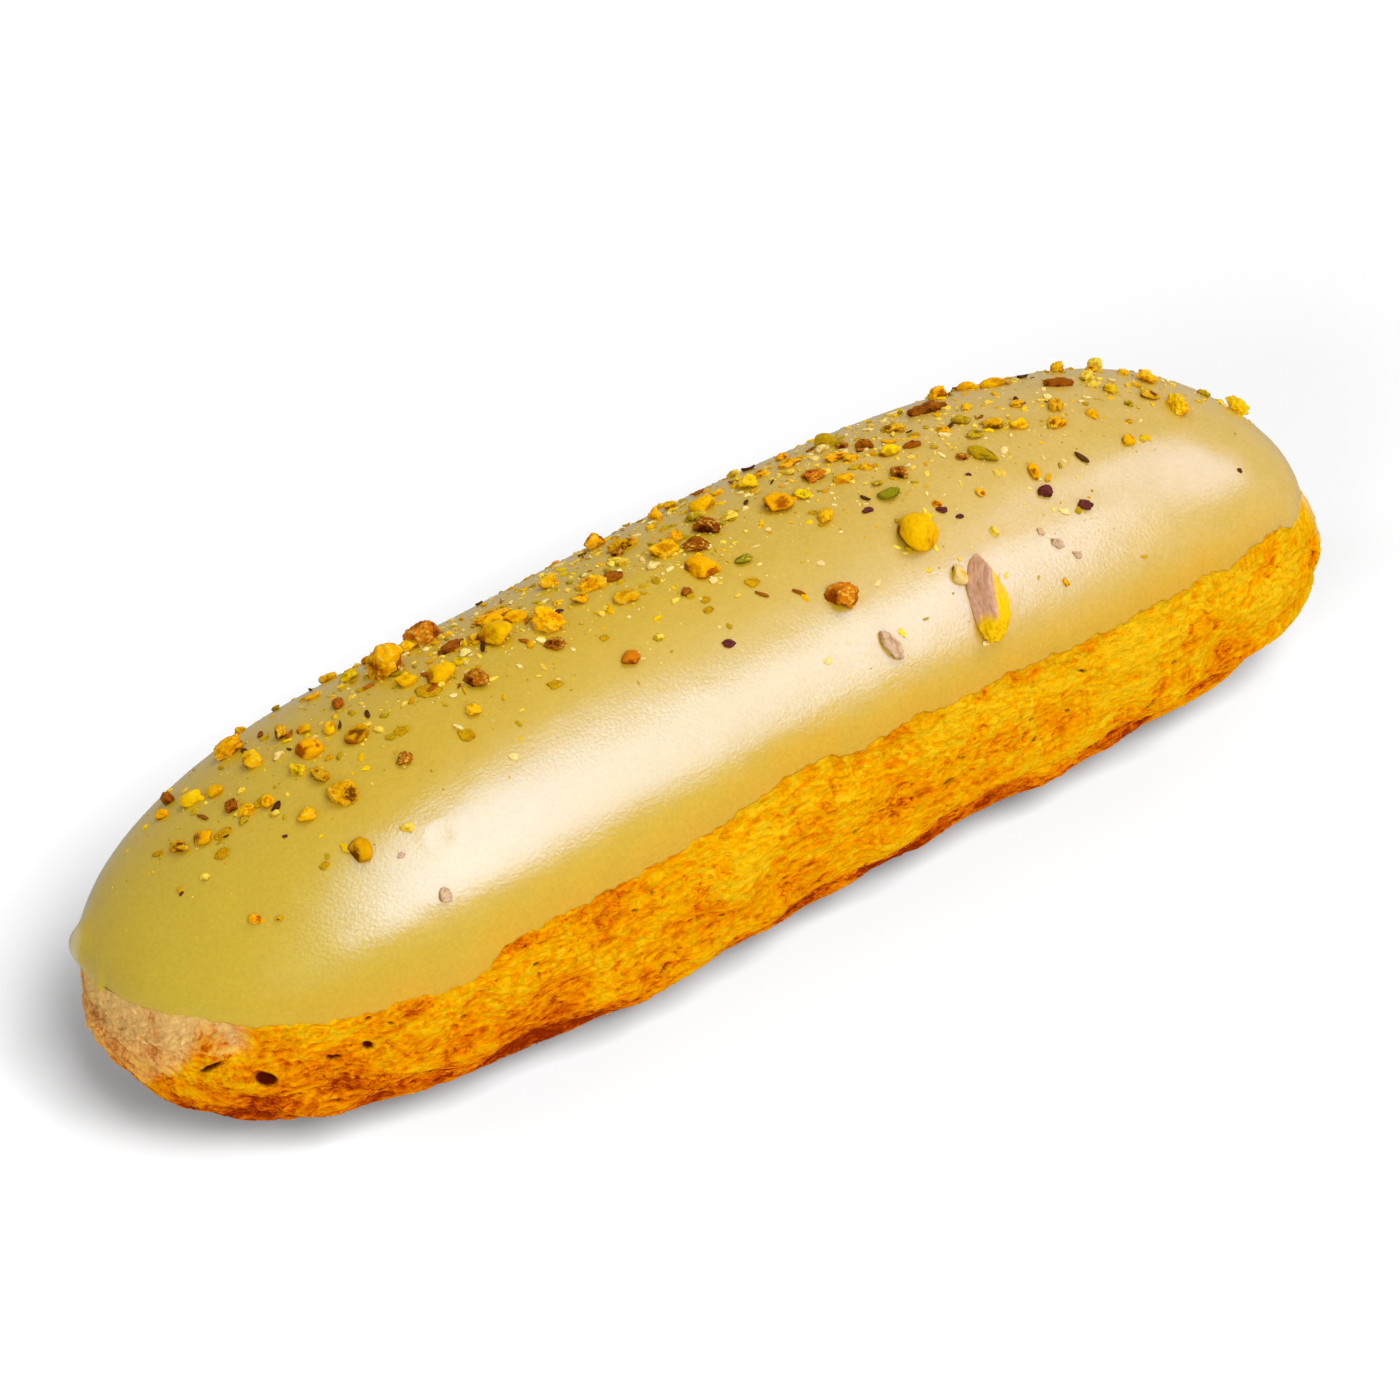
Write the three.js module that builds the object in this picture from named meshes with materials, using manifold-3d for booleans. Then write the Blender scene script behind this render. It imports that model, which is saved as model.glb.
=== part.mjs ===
// Pistachio eclair lying on its flat base: a baked choux bun and its icing with chopped pistachios.
// Millimetres. +X runs along the eclair, +Y across it, +Z up, origin under the middle of the base.
import * as THREE from 'three';
import { mergeVertices } from 'three/addons/utils/BufferGeometryUtils.js';
import Module from 'manifold-3d';

const wasm = await Module();
wasm.setup();

// Size of the whole eclair
const LENGTH = 140;
const WIDTH = 42.6;
const HEIGHT = 35.3;

// Form of the body: height of its widest level, and the powers of its rounded section
const WIDEST_LEVEL = 14.9;
const UPPER_POWER = 2.1;
const LOWER_POWER = 2.35;
const BASE_PRESS = 1.03;
const TAPER = 0.079;

// Sideways bow, and the share of it at mid-length that keeps the origin in the middle
const BOW = 1.07;
const BOW_MIDDLE = 0.25;

// The far side lies a little lower here: where along the eclair, how deep and how far that reaches,
// and the shares of the depth across and down
const FAR_DIP = { at: -20, depth: 1.7, reach: 23 };
const DIP_ACROSS = 0.66;
const DIP_DOWN = 0.75;

// Form of the two ends: the powers of the plan, top and bottom outlines, and the tip's share of the height
const LEFT_END = { plan: 3.54, top: 2.6, bottom: 6.7, tip: 0.456 };
const RIGHT_END = { plan: 6.73, top: 3.78, bottom: 4.23, tip: 0.335 };

// Icing: thickness, gap to the choux, step down at its edge, and the radius of its rounded rim
const ICING = 1.8;
const GAP = 0.35;
const EDGE_STEP = 0.5;
const RIM_RADIUS = 2.6;

// Height of the icing's edge along the eclair, and how far the choux takes to reach its full depth
const EDGE_LEVEL = 21.2;
const EDGE_TILT = 0.015;
const EDGE_BOW = -2.35;
const REACH_BELOW = 5;
const REACH_ABOVE = 6;

// Scallops of the icing's edge: where along the eclair, how far up, and how quickly they fade either way
const NEAR_SCALLOPS = [
  { at: -67.5, rise: 1.6, before: 5, after: 5 },
  { at: -53.5, rise: -0.8, before: 5, after: 4 },
  { at: -42.5, rise: -2.2, before: 8, after: 3.2 },
  { at: -3, rise: 1.5, before: 9, after: 4 },
  { at: 9, rise: 0.8, before: 5, after: 4 },
  { at: 20, rise: 0.45, before: 4, after: 6 },
  { at: 39, rise: 0.45, before: 2, after: 2 },
  { at: 45.5, rise: 0.65, before: 2.4, after: 2 },
  { at: 55, rise: 0.55, before: 4, after: 3 },
  { at: 62, rise: -1.2, before: 3, after: 5 },
];
const FAR_SCALLOPS = [
  { at: -67.5, rise: -8, before: 5, after: 4 },
  { at: -55, rise: -0.9, before: 6, after: 3 },
  { at: -38, rise: 0.9, before: 7, after: 3 },
  { at: -19, rise: -0.8, before: 4, after: 8 },
  { at: 6, rise: 1.1, before: 8, after: 3 },
  { at: 25, rise: -0.7, before: 5, after: 7 },
  { at: 47, rise: 0.9, before: 6, after: 4 },
];

// A fat drip of icing on the left tip
const DRIP = { x: -67.9, y: 5.2, z: 19.2, bulge: 1, reach: 2.2 };

// Relief of the choux: ridges left by the piping nozzle, and low waves where the crust swelled
const RIDGE_COUNT = 17;
const RIDGE_DEPTH = 0.28;
const RIDGE_WANDER = 14;
const RIDGE_SWAY = 1.1;
const CRUST_WAVES = [
  { depth: 0.26, length: 26, round: 3, phase: 0.4 },
  { depth: 0.2, length: 17, round: -5, phase: 2.1 },
  { depth: 0.16, length: 11.5, round: 7, phase: 4.0 },
  { depth: 0.1, length: 8.3, round: -9, phase: 1.2 },
];

// How far the baked crust lies in from the smooth form, and where its near side swells out;
// the swell's lean and turn are in radians
const CRUST_INSET = 0.3;
const CRUST_SWELL = { at: -20, lean: 2.18, rise: 1.5, reach: 16, turn: 0.5 };

// Heights and widths over which the relief fades: below the icing's edge, over the foot and at the tips
const RELIEF_FADE = 2.5;
const FOOT_FADE = 9;
const TIP_FADE_FROM = 4;
const TIP_FADE_TO = 17;

// Number of steps along and around each surface
const CHOUX_STEPS = 60;
const CHOUX_HIDDEN_STEPS = 10;
const CHOUX_SHOWN_STEPS = 17;
const ICED_LEAN = 1.28;
const ICING_STEPS = 60;
const ICING_ROWS = 20;
const EDGE_SAMPLES = 240;

// The pistachio pieces that stand out: place along the eclair, lean from the crest towards -Y in degrees,
// length, width and height, and the turn of the length away from +X in degrees
const MAIN_PIECES = [
  { x: 17.7, lean: 25, long: 3.8, wide: 3.4, tall: 3.0, turn: 27 },
  { x: 20.6, lean: 49, long: 7.4, wide: 3.1, tall: 2.8, turn: 104 },
  { x: 19.2, lean: 40, long: 2.0, wide: 1.6, tall: 1.2, turn: 60 },
  { x: 6.9, lean: 32, long: 3.3, wide: 2.3, tall: 1.8, turn: 16 },
  { x: 9.1, lean: 49, long: 3.2, wide: 1.5, tall: 0.9, turn: 78 },
  { x: 18.8, lean: 10, long: 2.2, wide: 1.5, tall: 1.3, turn: 10 },
  { x: 9.1, lean: -2, long: 2.9, wide: 2.3, tall: 1.7, turn: 27 },
  { x: 1.9, lean: -5, long: 2.8, wide: 1.7, tall: 1.5, turn: 52 },
  { x: -0.8, lean: -1, long: 2.5, wide: 1.7, tall: 1.5, turn: 43 },
  { x: -2.5, lean: 7, long: 3.2, wide: 2.5, tall: 1.5, turn: 30 },
  { x: -3.6, lean: -4, long: 3.0, wide: 1.6, tall: 1.6, turn: 20 },
  { x: -23.0, lean: -3, long: 3.0, wide: 2.6, tall: 2.1, turn: 16 },
  { x: -18.3, lean: 1, long: 3.2, wide: 2.5, tall: 2.0, turn: 68 },
  { x: -26.1, lean: -25, long: 3.4, wide: 3.0, tall: 2.7, turn: 5 },
  { x: -32.1, lean: -17, long: 3.8, wide: 3.2, tall: 3.2, turn: -14 },
  { x: -30.1, lean: -1, long: 2.8, wide: 2.0, tall: 1.6, turn: 8 },
  { x: -28.1, lean: 6, long: 2.3, wide: 1.8, tall: 1.4, turn: 50 },
  { x: -44.9, lean: 14, long: 2.8, wide: 2.2, tall: 1.6, turn: 60 },
  { x: -47.0, lean: 31, long: 2.2, wide: 2.0, tall: 1.4, turn: 90 },
  { x: -40.1, lean: 1, long: 2.2, wide: 1.7, tall: 1.3, turn: 0 },
  { x: -44.1, lean: -4, long: 2.6, wide: 1.8, tall: 1.5, turn: 30 },
  { x: -47.4, lean: -30, long: 3.0, wide: 2.2, tall: 1.8, turn: 0 },
  { x: 20.4, lean: -22, long: 2.5, wide: 1.8, tall: 1.5, turn: 70 },
  { x: 30.1, lean: 10, long: 2.8, wide: 1.4, tall: 1.2, turn: 58 },
  { x: 45.3, lean: -10, long: 2.9, wide: 1.3, tall: 1.0, turn: 24 },
  { x: 31.6, lean: -18, long: 4.0, wide: 1.5, tall: 1.2, turn: 15 },
  { x: 53.9, lean: 12, long: 2.7, wide: 2.3, tall: 1.9, turn: 80 },
  { x: 63.3, lean: 6, long: 2.4, wide: 2.0, tall: 1.8, turn: 40 },
  { x: 32.6, lean: 28, long: 1.5, wide: 1.2, tall: 0.9, turn: 20 },
  { x: 35.5, lean: 36, long: 1.6, wide: 1.1, tall: 0.7, turn: 30 },
  { x: -15.0, lean: 22, long: 1.7, wide: 1.4, tall: 1.1, turn: 0 },
  { x: -28.1, lean: -24, long: 2.2, wide: 1.3, tall: 1.1, turn: 0 },
  { x: -32.6, lean: -6, long: 1.9, wide: 1.4, tall: 1.2, turn: 20 },
  { x: -21.9, lean: -10, long: 2.2, wide: 1.8, tall: 1.4, turn: 10 },
  { x: -19.9, lean: -7, long: 2.2, wide: 1.4, tall: 1.2, turn: 30 },
  { x: -20.9, lean: -15, long: 3.0, wide: 2.0, tall: 0.9, turn: 10 },
  { x: -19.8, lean: 8, long: 1.8, wide: 1.4, tall: 0.8, turn: 30 },
  { x: -24.5, lean: -7, long: 1.6, wide: 1.4, tall: 1.0, turn: 0 },
  { x: -26.6, lean: -10, long: 3.0, wide: 1.8, tall: 0.7, turn: 10 },
  { x: -4.9, lean: -17, long: 2.4, wide: 1.8, tall: 1.3, turn: 20 },
  { x: -11.8, lean: -5, long: 2.6, wide: 2.2, tall: 1.0, turn: 70 },
  { x: -9.6, lean: -4, long: 2.2, wide: 1.6, tall: 0.7, turn: 20 },
  { x: -10.7, lean: 5, long: 2.2, wide: 1.6, tall: 1.2, turn: 20 },
  { x: -14.0, lean: -1, long: 1.8, wide: 1.2, tall: 1.0, turn: 0 },
  { x: 1.4, lean: 10, long: 1.7, wide: 1.0, tall: 0.8, turn: 15 },
  { x: 18.8, lean: -11, long: 2.4, wide: 1.4, tall: 0.8, turn: 15 },
  { x: 15.6, lean: -19, long: 2.2, wide: 1.4, tall: 0.9, turn: 10 },
  { x: 15.0, lean: -7, long: 2.6, wide: 1.8, tall: 1.1, turn: 10 },
  { x: 16.8, lean: -1, long: 2.0, wide: 1.2, tall: 0.9, turn: 20 },
  { x: 23.0, lean: -4, long: 2.0, wide: 1.3, tall: 1.1, turn: 20 },
  { x: 21.4, lean: 5, long: 1.6, wide: 1.4, tall: 1.1, turn: 60 },
  { x: 25.6, lean: -3, long: 1.8, wide: 1.0, tall: 0.7, turn: 10 },
  { x: 41.0, lean: -23, long: 2.4, wide: 1.4, tall: 1.0, turn: 20 },
  { x: 49.0, lean: -1, long: 1.6, wide: 1.2, tall: 1.0, turn: 70 },
  { x: 52.4, lean: 4, long: 2.2, wide: 1.6, tall: 0.8, turn: 10 },
  { x: 44.9, lean: 21, long: 1.4, wide: 1.2, tall: 0.9, turn: 0 },
  { x: 39.7, lean: 8, long: 2.0, wide: 1.4, tall: 1.0, turn: 10 },
  { x: 34.2, lean: 1, long: 2.0, wide: 1.4, tall: 1.0, turn: 20 },
  { x: 36.2, lean: 4, long: 2.0, wide: 1.3, tall: 1.0, turn: 10 },
  { x: 33.1, lean: 21, long: 1.7, wide: 1.0, tall: 0.8, turn: 107 },
  { x: -45.3, lean: 5, long: 1.9, wide: 1.3, tall: 1.1, turn: 70 },
  { x: -53.9, lean: -22, long: 2.0, wide: 1.5, tall: 1.3, turn: 20 },
  { x: -56.2, lean: -4, long: 1.9, wide: 1.6, tall: 0.9, turn: 40 },
  { x: -48.6, lean: 13, long: 1.9, wide: 1.3, tall: 1.0, turn: 20 },
  { x: -38.7, lean: 15, long: 1.5, wide: 1.2, tall: 0.9, turn: 30 },
];

// The smaller pieces follow a seeded rule: they lie thickest on the crest and thin out down both sides
const SCATTER_SEED = 20417;
const SCATTER_COUNT = 50;
const SCATTER_FROM = -60;
const SCATTER_TO = 60;
const SCATTER_LEAN = -15;
const SCATTER_SPREAD = 32;
const SMALL_PIECE = 1.3;
const SMALL_PIECE_RANGE = 1.3;
const CLEARANCE_SHARE = 0.6;

// How a piece sits: the share of its height that its centre stands over the icing, and its roughness
const SEAT_SHARE = 0.2;
const PIECE_ROUGHNESS = 0.34;

const HALF_LENGTH = LENGTH / 2;
const DEGREE = Math.PI / 180;

// Repeatable random numbers from 0 to 1
function seededRandom(seed) {
  let state = seed >>> 0;
  return () => {
    state = (state + 0x6d2b79f5) >>> 0;
    let mixed = Math.imul(state ^ (state >>> 15), state | 1);
    mixed ^= mixed + Math.imul(mixed ^ (mixed >>> 7), mixed | 61);
    return ((mixed ^ (mixed >>> 14)) >>> 0) / 4294967296;
  };
}

function smooth(from, to, value) {
  const share = Math.min(Math.max((value - from) / (to - from), 0), 1);
  return share * share * (3 - 2 * share);
}

// Body form

// The section's outline at one place along the eclair
function sectionAt(x) {
  const along = Math.min(Math.max(x / HALF_LENGTH, -1), 1);
  const end = along < 0 ? LEFT_END : RIGHT_END;
  const reach = Math.abs(along);
  const middle = WIDEST_LEVEL + (end.tip * HEIGHT - WIDEST_LEVEL) * reach ** 4;
  return {
    bow: BOW * (BOW_MIDDLE - 2 * along * along),
    halfWidth: (WIDTH / 2) * Math.sqrt(1 - reach ** end.plan) * (1 - TAPER * along),
    middle,
    top: middle + (HEIGHT - middle) * Math.sqrt(1 - reach ** end.top),
    bottom: middle * (1 - Math.sqrt(1 - reach ** end.bottom)),
  };
}

// Depth of the dip half-way down the far side
function farDip(x, lean) {
  const along = Math.exp(-(((x - FAR_DIP.at) / FAR_DIP.reach) ** 2));
  return 2 * FAR_DIP.depth * along * Math.max(Math.cos(lean), 0) * Math.max(-Math.sin(lean), 0);
}

// A point of the smooth form: lean is 0 on the crest and grows towards -Y
function formPoint(x, lean) {
  const section = sectionAt(x);
  const upper = Math.cos(lean) >= 0;
  const power = 2 / (upper ? UPPER_POWER : LOWER_POWER);
  const across = Math.sign(Math.sin(lean)) * Math.abs(Math.sin(lean)) ** power;
  const rise = Math.abs(Math.cos(lean)) ** power;
  const over = section.middle + (section.top - section.middle) * rise;
  const under = section.middle - (section.middle - section.bottom) * BASE_PRESS * rise;
  const dip = farDip(x, lean);
  const y = section.bow - section.halfWidth * across - dip * DIP_ACROSS;
  const z = (upper ? over : under) - dip * DIP_DOWN;
  return new THREE.Vector3(x, y, Math.max(z, 0));
}

// Place along the eclair for a turn from -90 to 90 degrees, so that steps crowd together at the ends
function alongFor(turn) {
  return HALF_LENGTH * Math.sin(turn);
}

// Outward direction of the smooth form
function formNormal(x, lean) {
  const turn = Math.asin(Math.min(Math.max(x / HALF_LENGTH, -1), 1));
  const small = 0.004;
  if (Math.abs(turn) > Math.PI / 2 - 2 * small) {
    return new THREE.Vector3(Math.sign(x), 0, 0);
  }
  const along = formPoint(alongFor(turn + small), lean).sub(formPoint(alongFor(turn - small), lean));
  const down = formPoint(x, lean + small).sub(formPoint(x, lean - small));
  const normal = down.cross(along);
  if (normal.lengthSq() === 0) {
    return new THREE.Vector3(0, 0, -1);
  }
  return normal.normalize();
}

// The icing's edge

function scallops(list, x) {
  let rise = 0;
  for (const lobe of list) {
    const width = x < lobe.at ? lobe.before : lobe.after;
    rise += lobe.rise * Math.exp(-(((x - lobe.at) / width) ** 2));
  }
  return rise;
}

// Height of the edge; side runs from 0 on the far side to 1 on the near side, and both meet at the tips
function edgeHeight(x, side) {
  const along = x / HALF_LENGTH;
  const nearShare = side + (1 - side) * along ** 10;
  const waves = scallops(NEAR_SCALLOPS, x) * nearShare + scallops(FAR_SCALLOPS, x) * (1 - nearShare);
  return EDGE_LEVEL + EDGE_TILT * x + EDGE_BOW * along * along + waves;
}

// Lean at which the form reaches the edge's height
function edgeLean(x, side) {
  const section = sectionAt(x);
  const share = (edgeHeight(x, side) - section.middle) / (section.top - section.middle);
  return Math.acos(Math.min(Math.max(share, 0), 1) ** (UPPER_POWER / 2));
}

// How far a point of the form lies above the icing's edge
function liftOverEdge(x, lean) {
  const side = smooth(-0.5, 0.5, Math.sin(lean));
  return formPoint(x, lean).z - edgeHeight(x, side);
}

// Where the icing ends along the eclair
function icingTip(sign) {
  let inside = 0;
  let outside = sign * HALF_LENGTH;
  for (let step = 0; step < 50; step += 1) {
    const x = (inside + outside) / 2;
    if (sectionAt(x).top > edgeHeight(x, 0.5)) {
      inside = x;
    } else {
      outside = x;
    }
  }
  return inside;
}

const ICING_FROM = icingTip(-1);
const ICING_TO = icingTip(1);

function icingAlong(share) {
  const middle = (ICING_FROM + ICING_TO) / 2;
  return middle + ((ICING_TO - ICING_FROM) / 2) * Math.sin(Math.PI * (share - 0.5));
}

function edgeCurve() {
  const points = [];
  for (let step = 0; step <= EDGE_SAMPLES; step += 1) {
    const x = icingAlong(step / EDGE_SAMPLES);
    points.push(formPoint(x, edgeLean(x, 1)), formPoint(x, -edgeLean(x, 0)));
  }
  return points;
}

const EDGE_POINTS = edgeCurve();

function distanceToEdge(point) {
  return Math.sqrt(Math.min(...EDGE_POINTS.map((edge) => edge.distanceToSquared(point))));
}

// How deep the choux lies under the smooth form: it steps down at the icing's edge
function chouxDepth(lift) {
  const step = EDGE_STEP * smooth(-REACH_BELOW, 0, lift);
  return step + (ICING + GAP - EDGE_STEP) * smooth(0, REACH_ABOVE, lift);
}

// Choux bun

function crustRelief(x, lean) {
  const wander = RIDGE_SWAY * Math.sin(x / RIDGE_WANDER);
  let height = RIDGE_DEPTH * Math.cos(RIDGE_COUNT * lean + wander);
  for (const wave of CRUST_WAVES) {
    const turn = (2 * Math.PI * x) / wave.length + wave.round * lean + wave.phase;
    height += wave.depth * Math.sin(turn);
  }
  const { at, lean: middle, rise, reach, turn } = CRUST_SWELL;
  const away = ((x - at) / reach) ** 2 + ((lean - middle) / turn) ** 2;
  return height - CRUST_INSET + rise * Math.exp(-away);
}

function chouxPoint(x, lean) {
  const point = formPoint(x, lean);
  const lift = liftOverEdge(x, lean);
  const offFoot = smooth(0, FOOT_FADE, point.z);
  const belowIcing = 1 - smooth(-RELIEF_FADE, 0, lift);
  const offTip = smooth(TIP_FADE_FROM, TIP_FADE_TO, sectionAt(x).halfWidth);
  const relief = crustRelief(x, lean) * offFoot * belowIcing * offTip;
  point.addScaledVector(formNormal(x, lean), relief - chouxDepth(lift));
  if (offFoot === 0) {
    point.z = 0;
  }
  return point;
}

// Leans around one section, wider apart where the icing hides the crust
function chouxLeans() {
  const leans = [];
  for (let step = 0; step < CHOUX_HIDDEN_STEPS; step += 1) {
    leans.push(ICED_LEAN * ((2 * step) / CHOUX_HIDDEN_STEPS - 1));
  }
  const shown = 2 * Math.PI - 2 * ICED_LEAN;
  for (let step = 0; step < 2 * CHOUX_SHOWN_STEPS; step += 1) {
    leans.push(ICED_LEAN + (shown * step) / (2 * CHOUX_SHOWN_STEPS));
  }
  return leans;
}

// Points and triangles gathered into one closed body
class Body {
  constructor() {
    this.positions = [];
    this.faces = [];
  }

  add(point) {
    this.positions.push(point.x, point.y, point.z);
    return this.positions.length / 3 - 1;
  }

  triangle(a, b, c) {
    if (a !== b && b !== c && c !== a) {
      this.faces.push(a, b, c);
    }
  }

  quad(a, b, c, d) {
    this.triangle(a, b, c);
    this.triangle(a, c, d);
  }

  geometry() {
    const geometry = new THREE.BufferGeometry();
    geometry.setAttribute('position', new THREE.Float32BufferAttribute(this.positions, 3));
    geometry.setIndex(this.faces);
    return geometry;
  }
}

function chouxGeometry() {
  const body = new Body();
  const leans = chouxLeans();
  const rings = [];
  for (let step = 0; step <= CHOUX_STEPS; step += 1) {
    const x = alongFor(Math.PI * (step / CHOUX_STEPS - 0.5));
    if (step === 0 || step === CHOUX_STEPS) {
      const tip = body.add(chouxPoint(x, Math.PI / 2));
      rings.push(leans.map(() => tip));
    } else {
      rings.push(leans.map((lean) => body.add(chouxPoint(x, lean))));
    }
  }
  for (let step = 0; step < CHOUX_STEPS; step += 1) {
    for (let row = 0; row < leans.length; row += 1) {
      const next = (row + 1) % leans.length;
      body.quad(rings[step][row], rings[step][next], rings[step + 1][next], rings[step + 1][row]);
    }
  }
  return body.geometry();
}

// Icing

// A point of the icing: its outer face, rounded down at the rim, or its inner face over the choux
function icingPoint(x, lean, outer) {
  const point = formPoint(x, lean);
  const innerDepth = chouxDepth(Math.max(liftOverEdge(x, lean), 0)) - GAP;
  let depth = innerDepth;
  if (outer) {
    const short = 1 - Math.min(distanceToEdge(point) / RIM_RADIUS, 1);
    const round = Math.sqrt(1 - short * short);
    const drip = point.distanceTo(new THREE.Vector3(DRIP.x, DRIP.y, DRIP.z)) / DRIP.reach;
    depth = innerDepth * (1 - round) - DRIP.bulge * Math.exp(-drip * drip) * round;
  }
  return point.addScaledVector(formNormal(x, lean), -depth);
}

// Share of the way across the icing for each row, crowded at both rims
function rowShare(row) {
  const even = row / ICING_ROWS;
  const crowded = (1 - Math.cos(Math.PI * even)) / 2;
  return 0.4 * even + 0.6 * crowded;
}

function icingGrid(body, outer, rim) {
  const grid = [];
  for (let step = 0; step <= ICING_STEPS; step += 1) {
    const x = icingAlong(step / ICING_STEPS);
    const near = edgeLean(x, 1);
    const far = -edgeLean(x, 0);
    const column = [];
    for (let row = 0; row <= ICING_ROWS; row += 1) {
      const onTip = step === 0 || step === ICING_STEPS;
      const onRim = onTip || row === 0 || row === ICING_ROWS;
      if (onRim && rim) {
        column.push(rim[step][row]);
      } else if (onTip && row > 0) {
        column.push(column[0]);
      } else {
        column.push(body.add(icingPoint(x, far + (near - far) * rowShare(row), outer)));
      }
    }
    grid.push(column);
  }
  return grid;
}

function icingGeometry() {
  const body = new Body();
  const outer = icingGrid(body, true, null);
  const inner = icingGrid(body, false, outer);
  for (let step = 0; step < ICING_STEPS; step += 1) {
    for (let row = 0; row < ICING_ROWS; row += 1) {
      body.quad(outer[step][row], outer[step][row + 1], outer[step + 1][row + 1], outer[step + 1][row]);
    }
    for (let row = 0; row < ICING_ROWS; row += 2) {
      body.quad(inner[step + 1][row], inner[step + 1][row + 2], inner[step][row + 2], inner[step][row]);
    }
  }
  return body.geometry();
}

// Pistachio pieces

function scatteredPieces() {
  const random = seededRandom(SCATTER_SEED);
  const pieces = [...MAIN_PIECES];
  while (pieces.length < MAIN_PIECES.length + SCATTER_COUNT) {
    const x = SCATTER_FROM + (SCATTER_TO - SCATTER_FROM) * random();
    const lean = SCATTER_LEAN + SCATTER_SPREAD * (random() + random() + random() - 1.5);
    const long = SMALL_PIECE + SMALL_PIECE_RANGE * random() ** 2;
    const wide = long * (0.6 + 0.35 * random());
    const tall = long * (0.45 + 0.3 * random());
    const turn = 180 * random();
    const place = formPoint(x, lean * DEGREE);
    const free = pieces.every((other) => {
      const apart = place.distanceTo(formPoint(other.x, other.lean * DEGREE));
      return apart > CLEARANCE_SHARE * (long + other.long);
    });
    if (free) {
      pieces.push({ x, lean, long, wide, tall, turn });
    }
  }
  return pieces;
}

// A rough chunk with twenty faces, seated a little into the icing
function pieceGeometry(piece, random) {
  const chunk = new THREE.IcosahedronGeometry(1, 0);
  chunk.deleteAttribute('normal');
  chunk.deleteAttribute('uv');
  const geometry = mergeVertices(chunk);
  const lean = piece.lean * DEGREE;
  const normal = formNormal(piece.x, lean);
  const ahead = formPoint(piece.x + 0.1, lean).sub(formPoint(piece.x - 0.1, lean)).normalize();
  const down = formPoint(piece.x, lean + 0.01).sub(formPoint(piece.x, lean - 0.01)).normalize();
  const turn = piece.turn * DEGREE;
  const lengthwise = ahead.multiplyScalar(Math.cos(turn)).addScaledVector(down, Math.sin(turn)).normalize();
  const crosswise = normal.clone().cross(lengthwise).normalize();
  const seat = formPoint(piece.x, lean).addScaledVector(normal, SEAT_SHARE * piece.tall);
  const position = geometry.getAttribute('position');
  for (let corner = 0; corner < position.count; corner += 1) {
    const size = 1 + PIECE_ROUGHNESS * (random() - 0.5);
    const point = seat.clone();
    point.addScaledVector(lengthwise, (position.getX(corner) * size * piece.long) / 2);
    point.addScaledVector(crosswise, (position.getY(corner) * size * piece.wide) / 2);
    point.addScaledVector(normal, (position.getZ(corner) * size * piece.tall) / 2);
    position.setXYZ(corner, point.x, point.y, point.z);
  }
  return geometry;
}

function solidOf(geometry) {
  const vertProperties = new Float32Array(geometry.getAttribute('position').array);
  const triVerts = new Uint32Array(geometry.getIndex().array);
  return new wasm.Manifold(new wasm.Mesh({ numProp: 3, vertProperties, triVerts }));
}

function geometryOf(solid) {
  const mesh = solid.getMesh();
  const geometry = new THREE.BufferGeometry();
  geometry.setAttribute('position', new THREE.BufferAttribute(mesh.vertProperties, 3));
  geometry.setIndex(new THREE.BufferAttribute(mesh.triVerts, 1));
  return geometry;
}

function icingWithPieces() {
  const random = seededRandom(SCATTER_SEED + 1);
  let solid = solidOf(icingGeometry());
  for (const piece of scatteredPieces()) {
    solid = solid.add(solidOf(pieceGeometry(piece, random)));
  }
  return geometryOf(solid);
}

// The eclair

const chouxMaterial = new THREE.MeshStandardMaterial({ color: 0xeaa22a, roughness: 0.7, metalness: 0 });
const icingMaterial = new THREE.MeshStandardMaterial({ color: 0xd6b862, roughness: 0.25, metalness: 0 });

const chouxBun = new THREE.Mesh(chouxGeometry(), chouxMaterial);
chouxBun.name = 'choux_bun';

const pistachioFondant = new THREE.Mesh(icingWithPieces(), icingMaterial);
pistachioFondant.name = 'pistachio_fondant';

const group = new THREE.Group();
group.name = 'pistachio_eclair';
group.add(chouxBun);
group.add(pistachioFondant);

export default group;
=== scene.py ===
"""A pistachio eclair: baked choux bun, poured pistachio icing and chopped pistachios, in studio light.

Lengths are in millimetres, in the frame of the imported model, until a mesh is made, which is in metres.
A place on the eclair is x, along it, and lean, the angle from the crest down towards -Y.
"""
import math

import bmesh
import bpy
import numpy as np
from mathutils import Matrix, Vector
from mathutils.kdtree import KDTree

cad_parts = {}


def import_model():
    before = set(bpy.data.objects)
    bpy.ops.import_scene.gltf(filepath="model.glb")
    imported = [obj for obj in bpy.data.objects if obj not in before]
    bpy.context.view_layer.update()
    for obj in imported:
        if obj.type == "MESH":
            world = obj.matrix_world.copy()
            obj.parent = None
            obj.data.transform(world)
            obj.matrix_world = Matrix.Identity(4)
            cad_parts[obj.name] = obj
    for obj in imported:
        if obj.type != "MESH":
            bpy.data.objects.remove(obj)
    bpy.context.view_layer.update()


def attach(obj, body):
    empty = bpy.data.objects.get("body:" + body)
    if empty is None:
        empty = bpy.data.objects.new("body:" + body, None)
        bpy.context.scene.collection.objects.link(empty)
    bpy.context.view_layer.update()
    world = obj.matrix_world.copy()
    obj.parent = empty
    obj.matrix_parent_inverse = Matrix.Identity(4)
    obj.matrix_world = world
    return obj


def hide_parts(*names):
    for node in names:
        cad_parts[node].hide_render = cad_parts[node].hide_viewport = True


MM = 0.001

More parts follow.
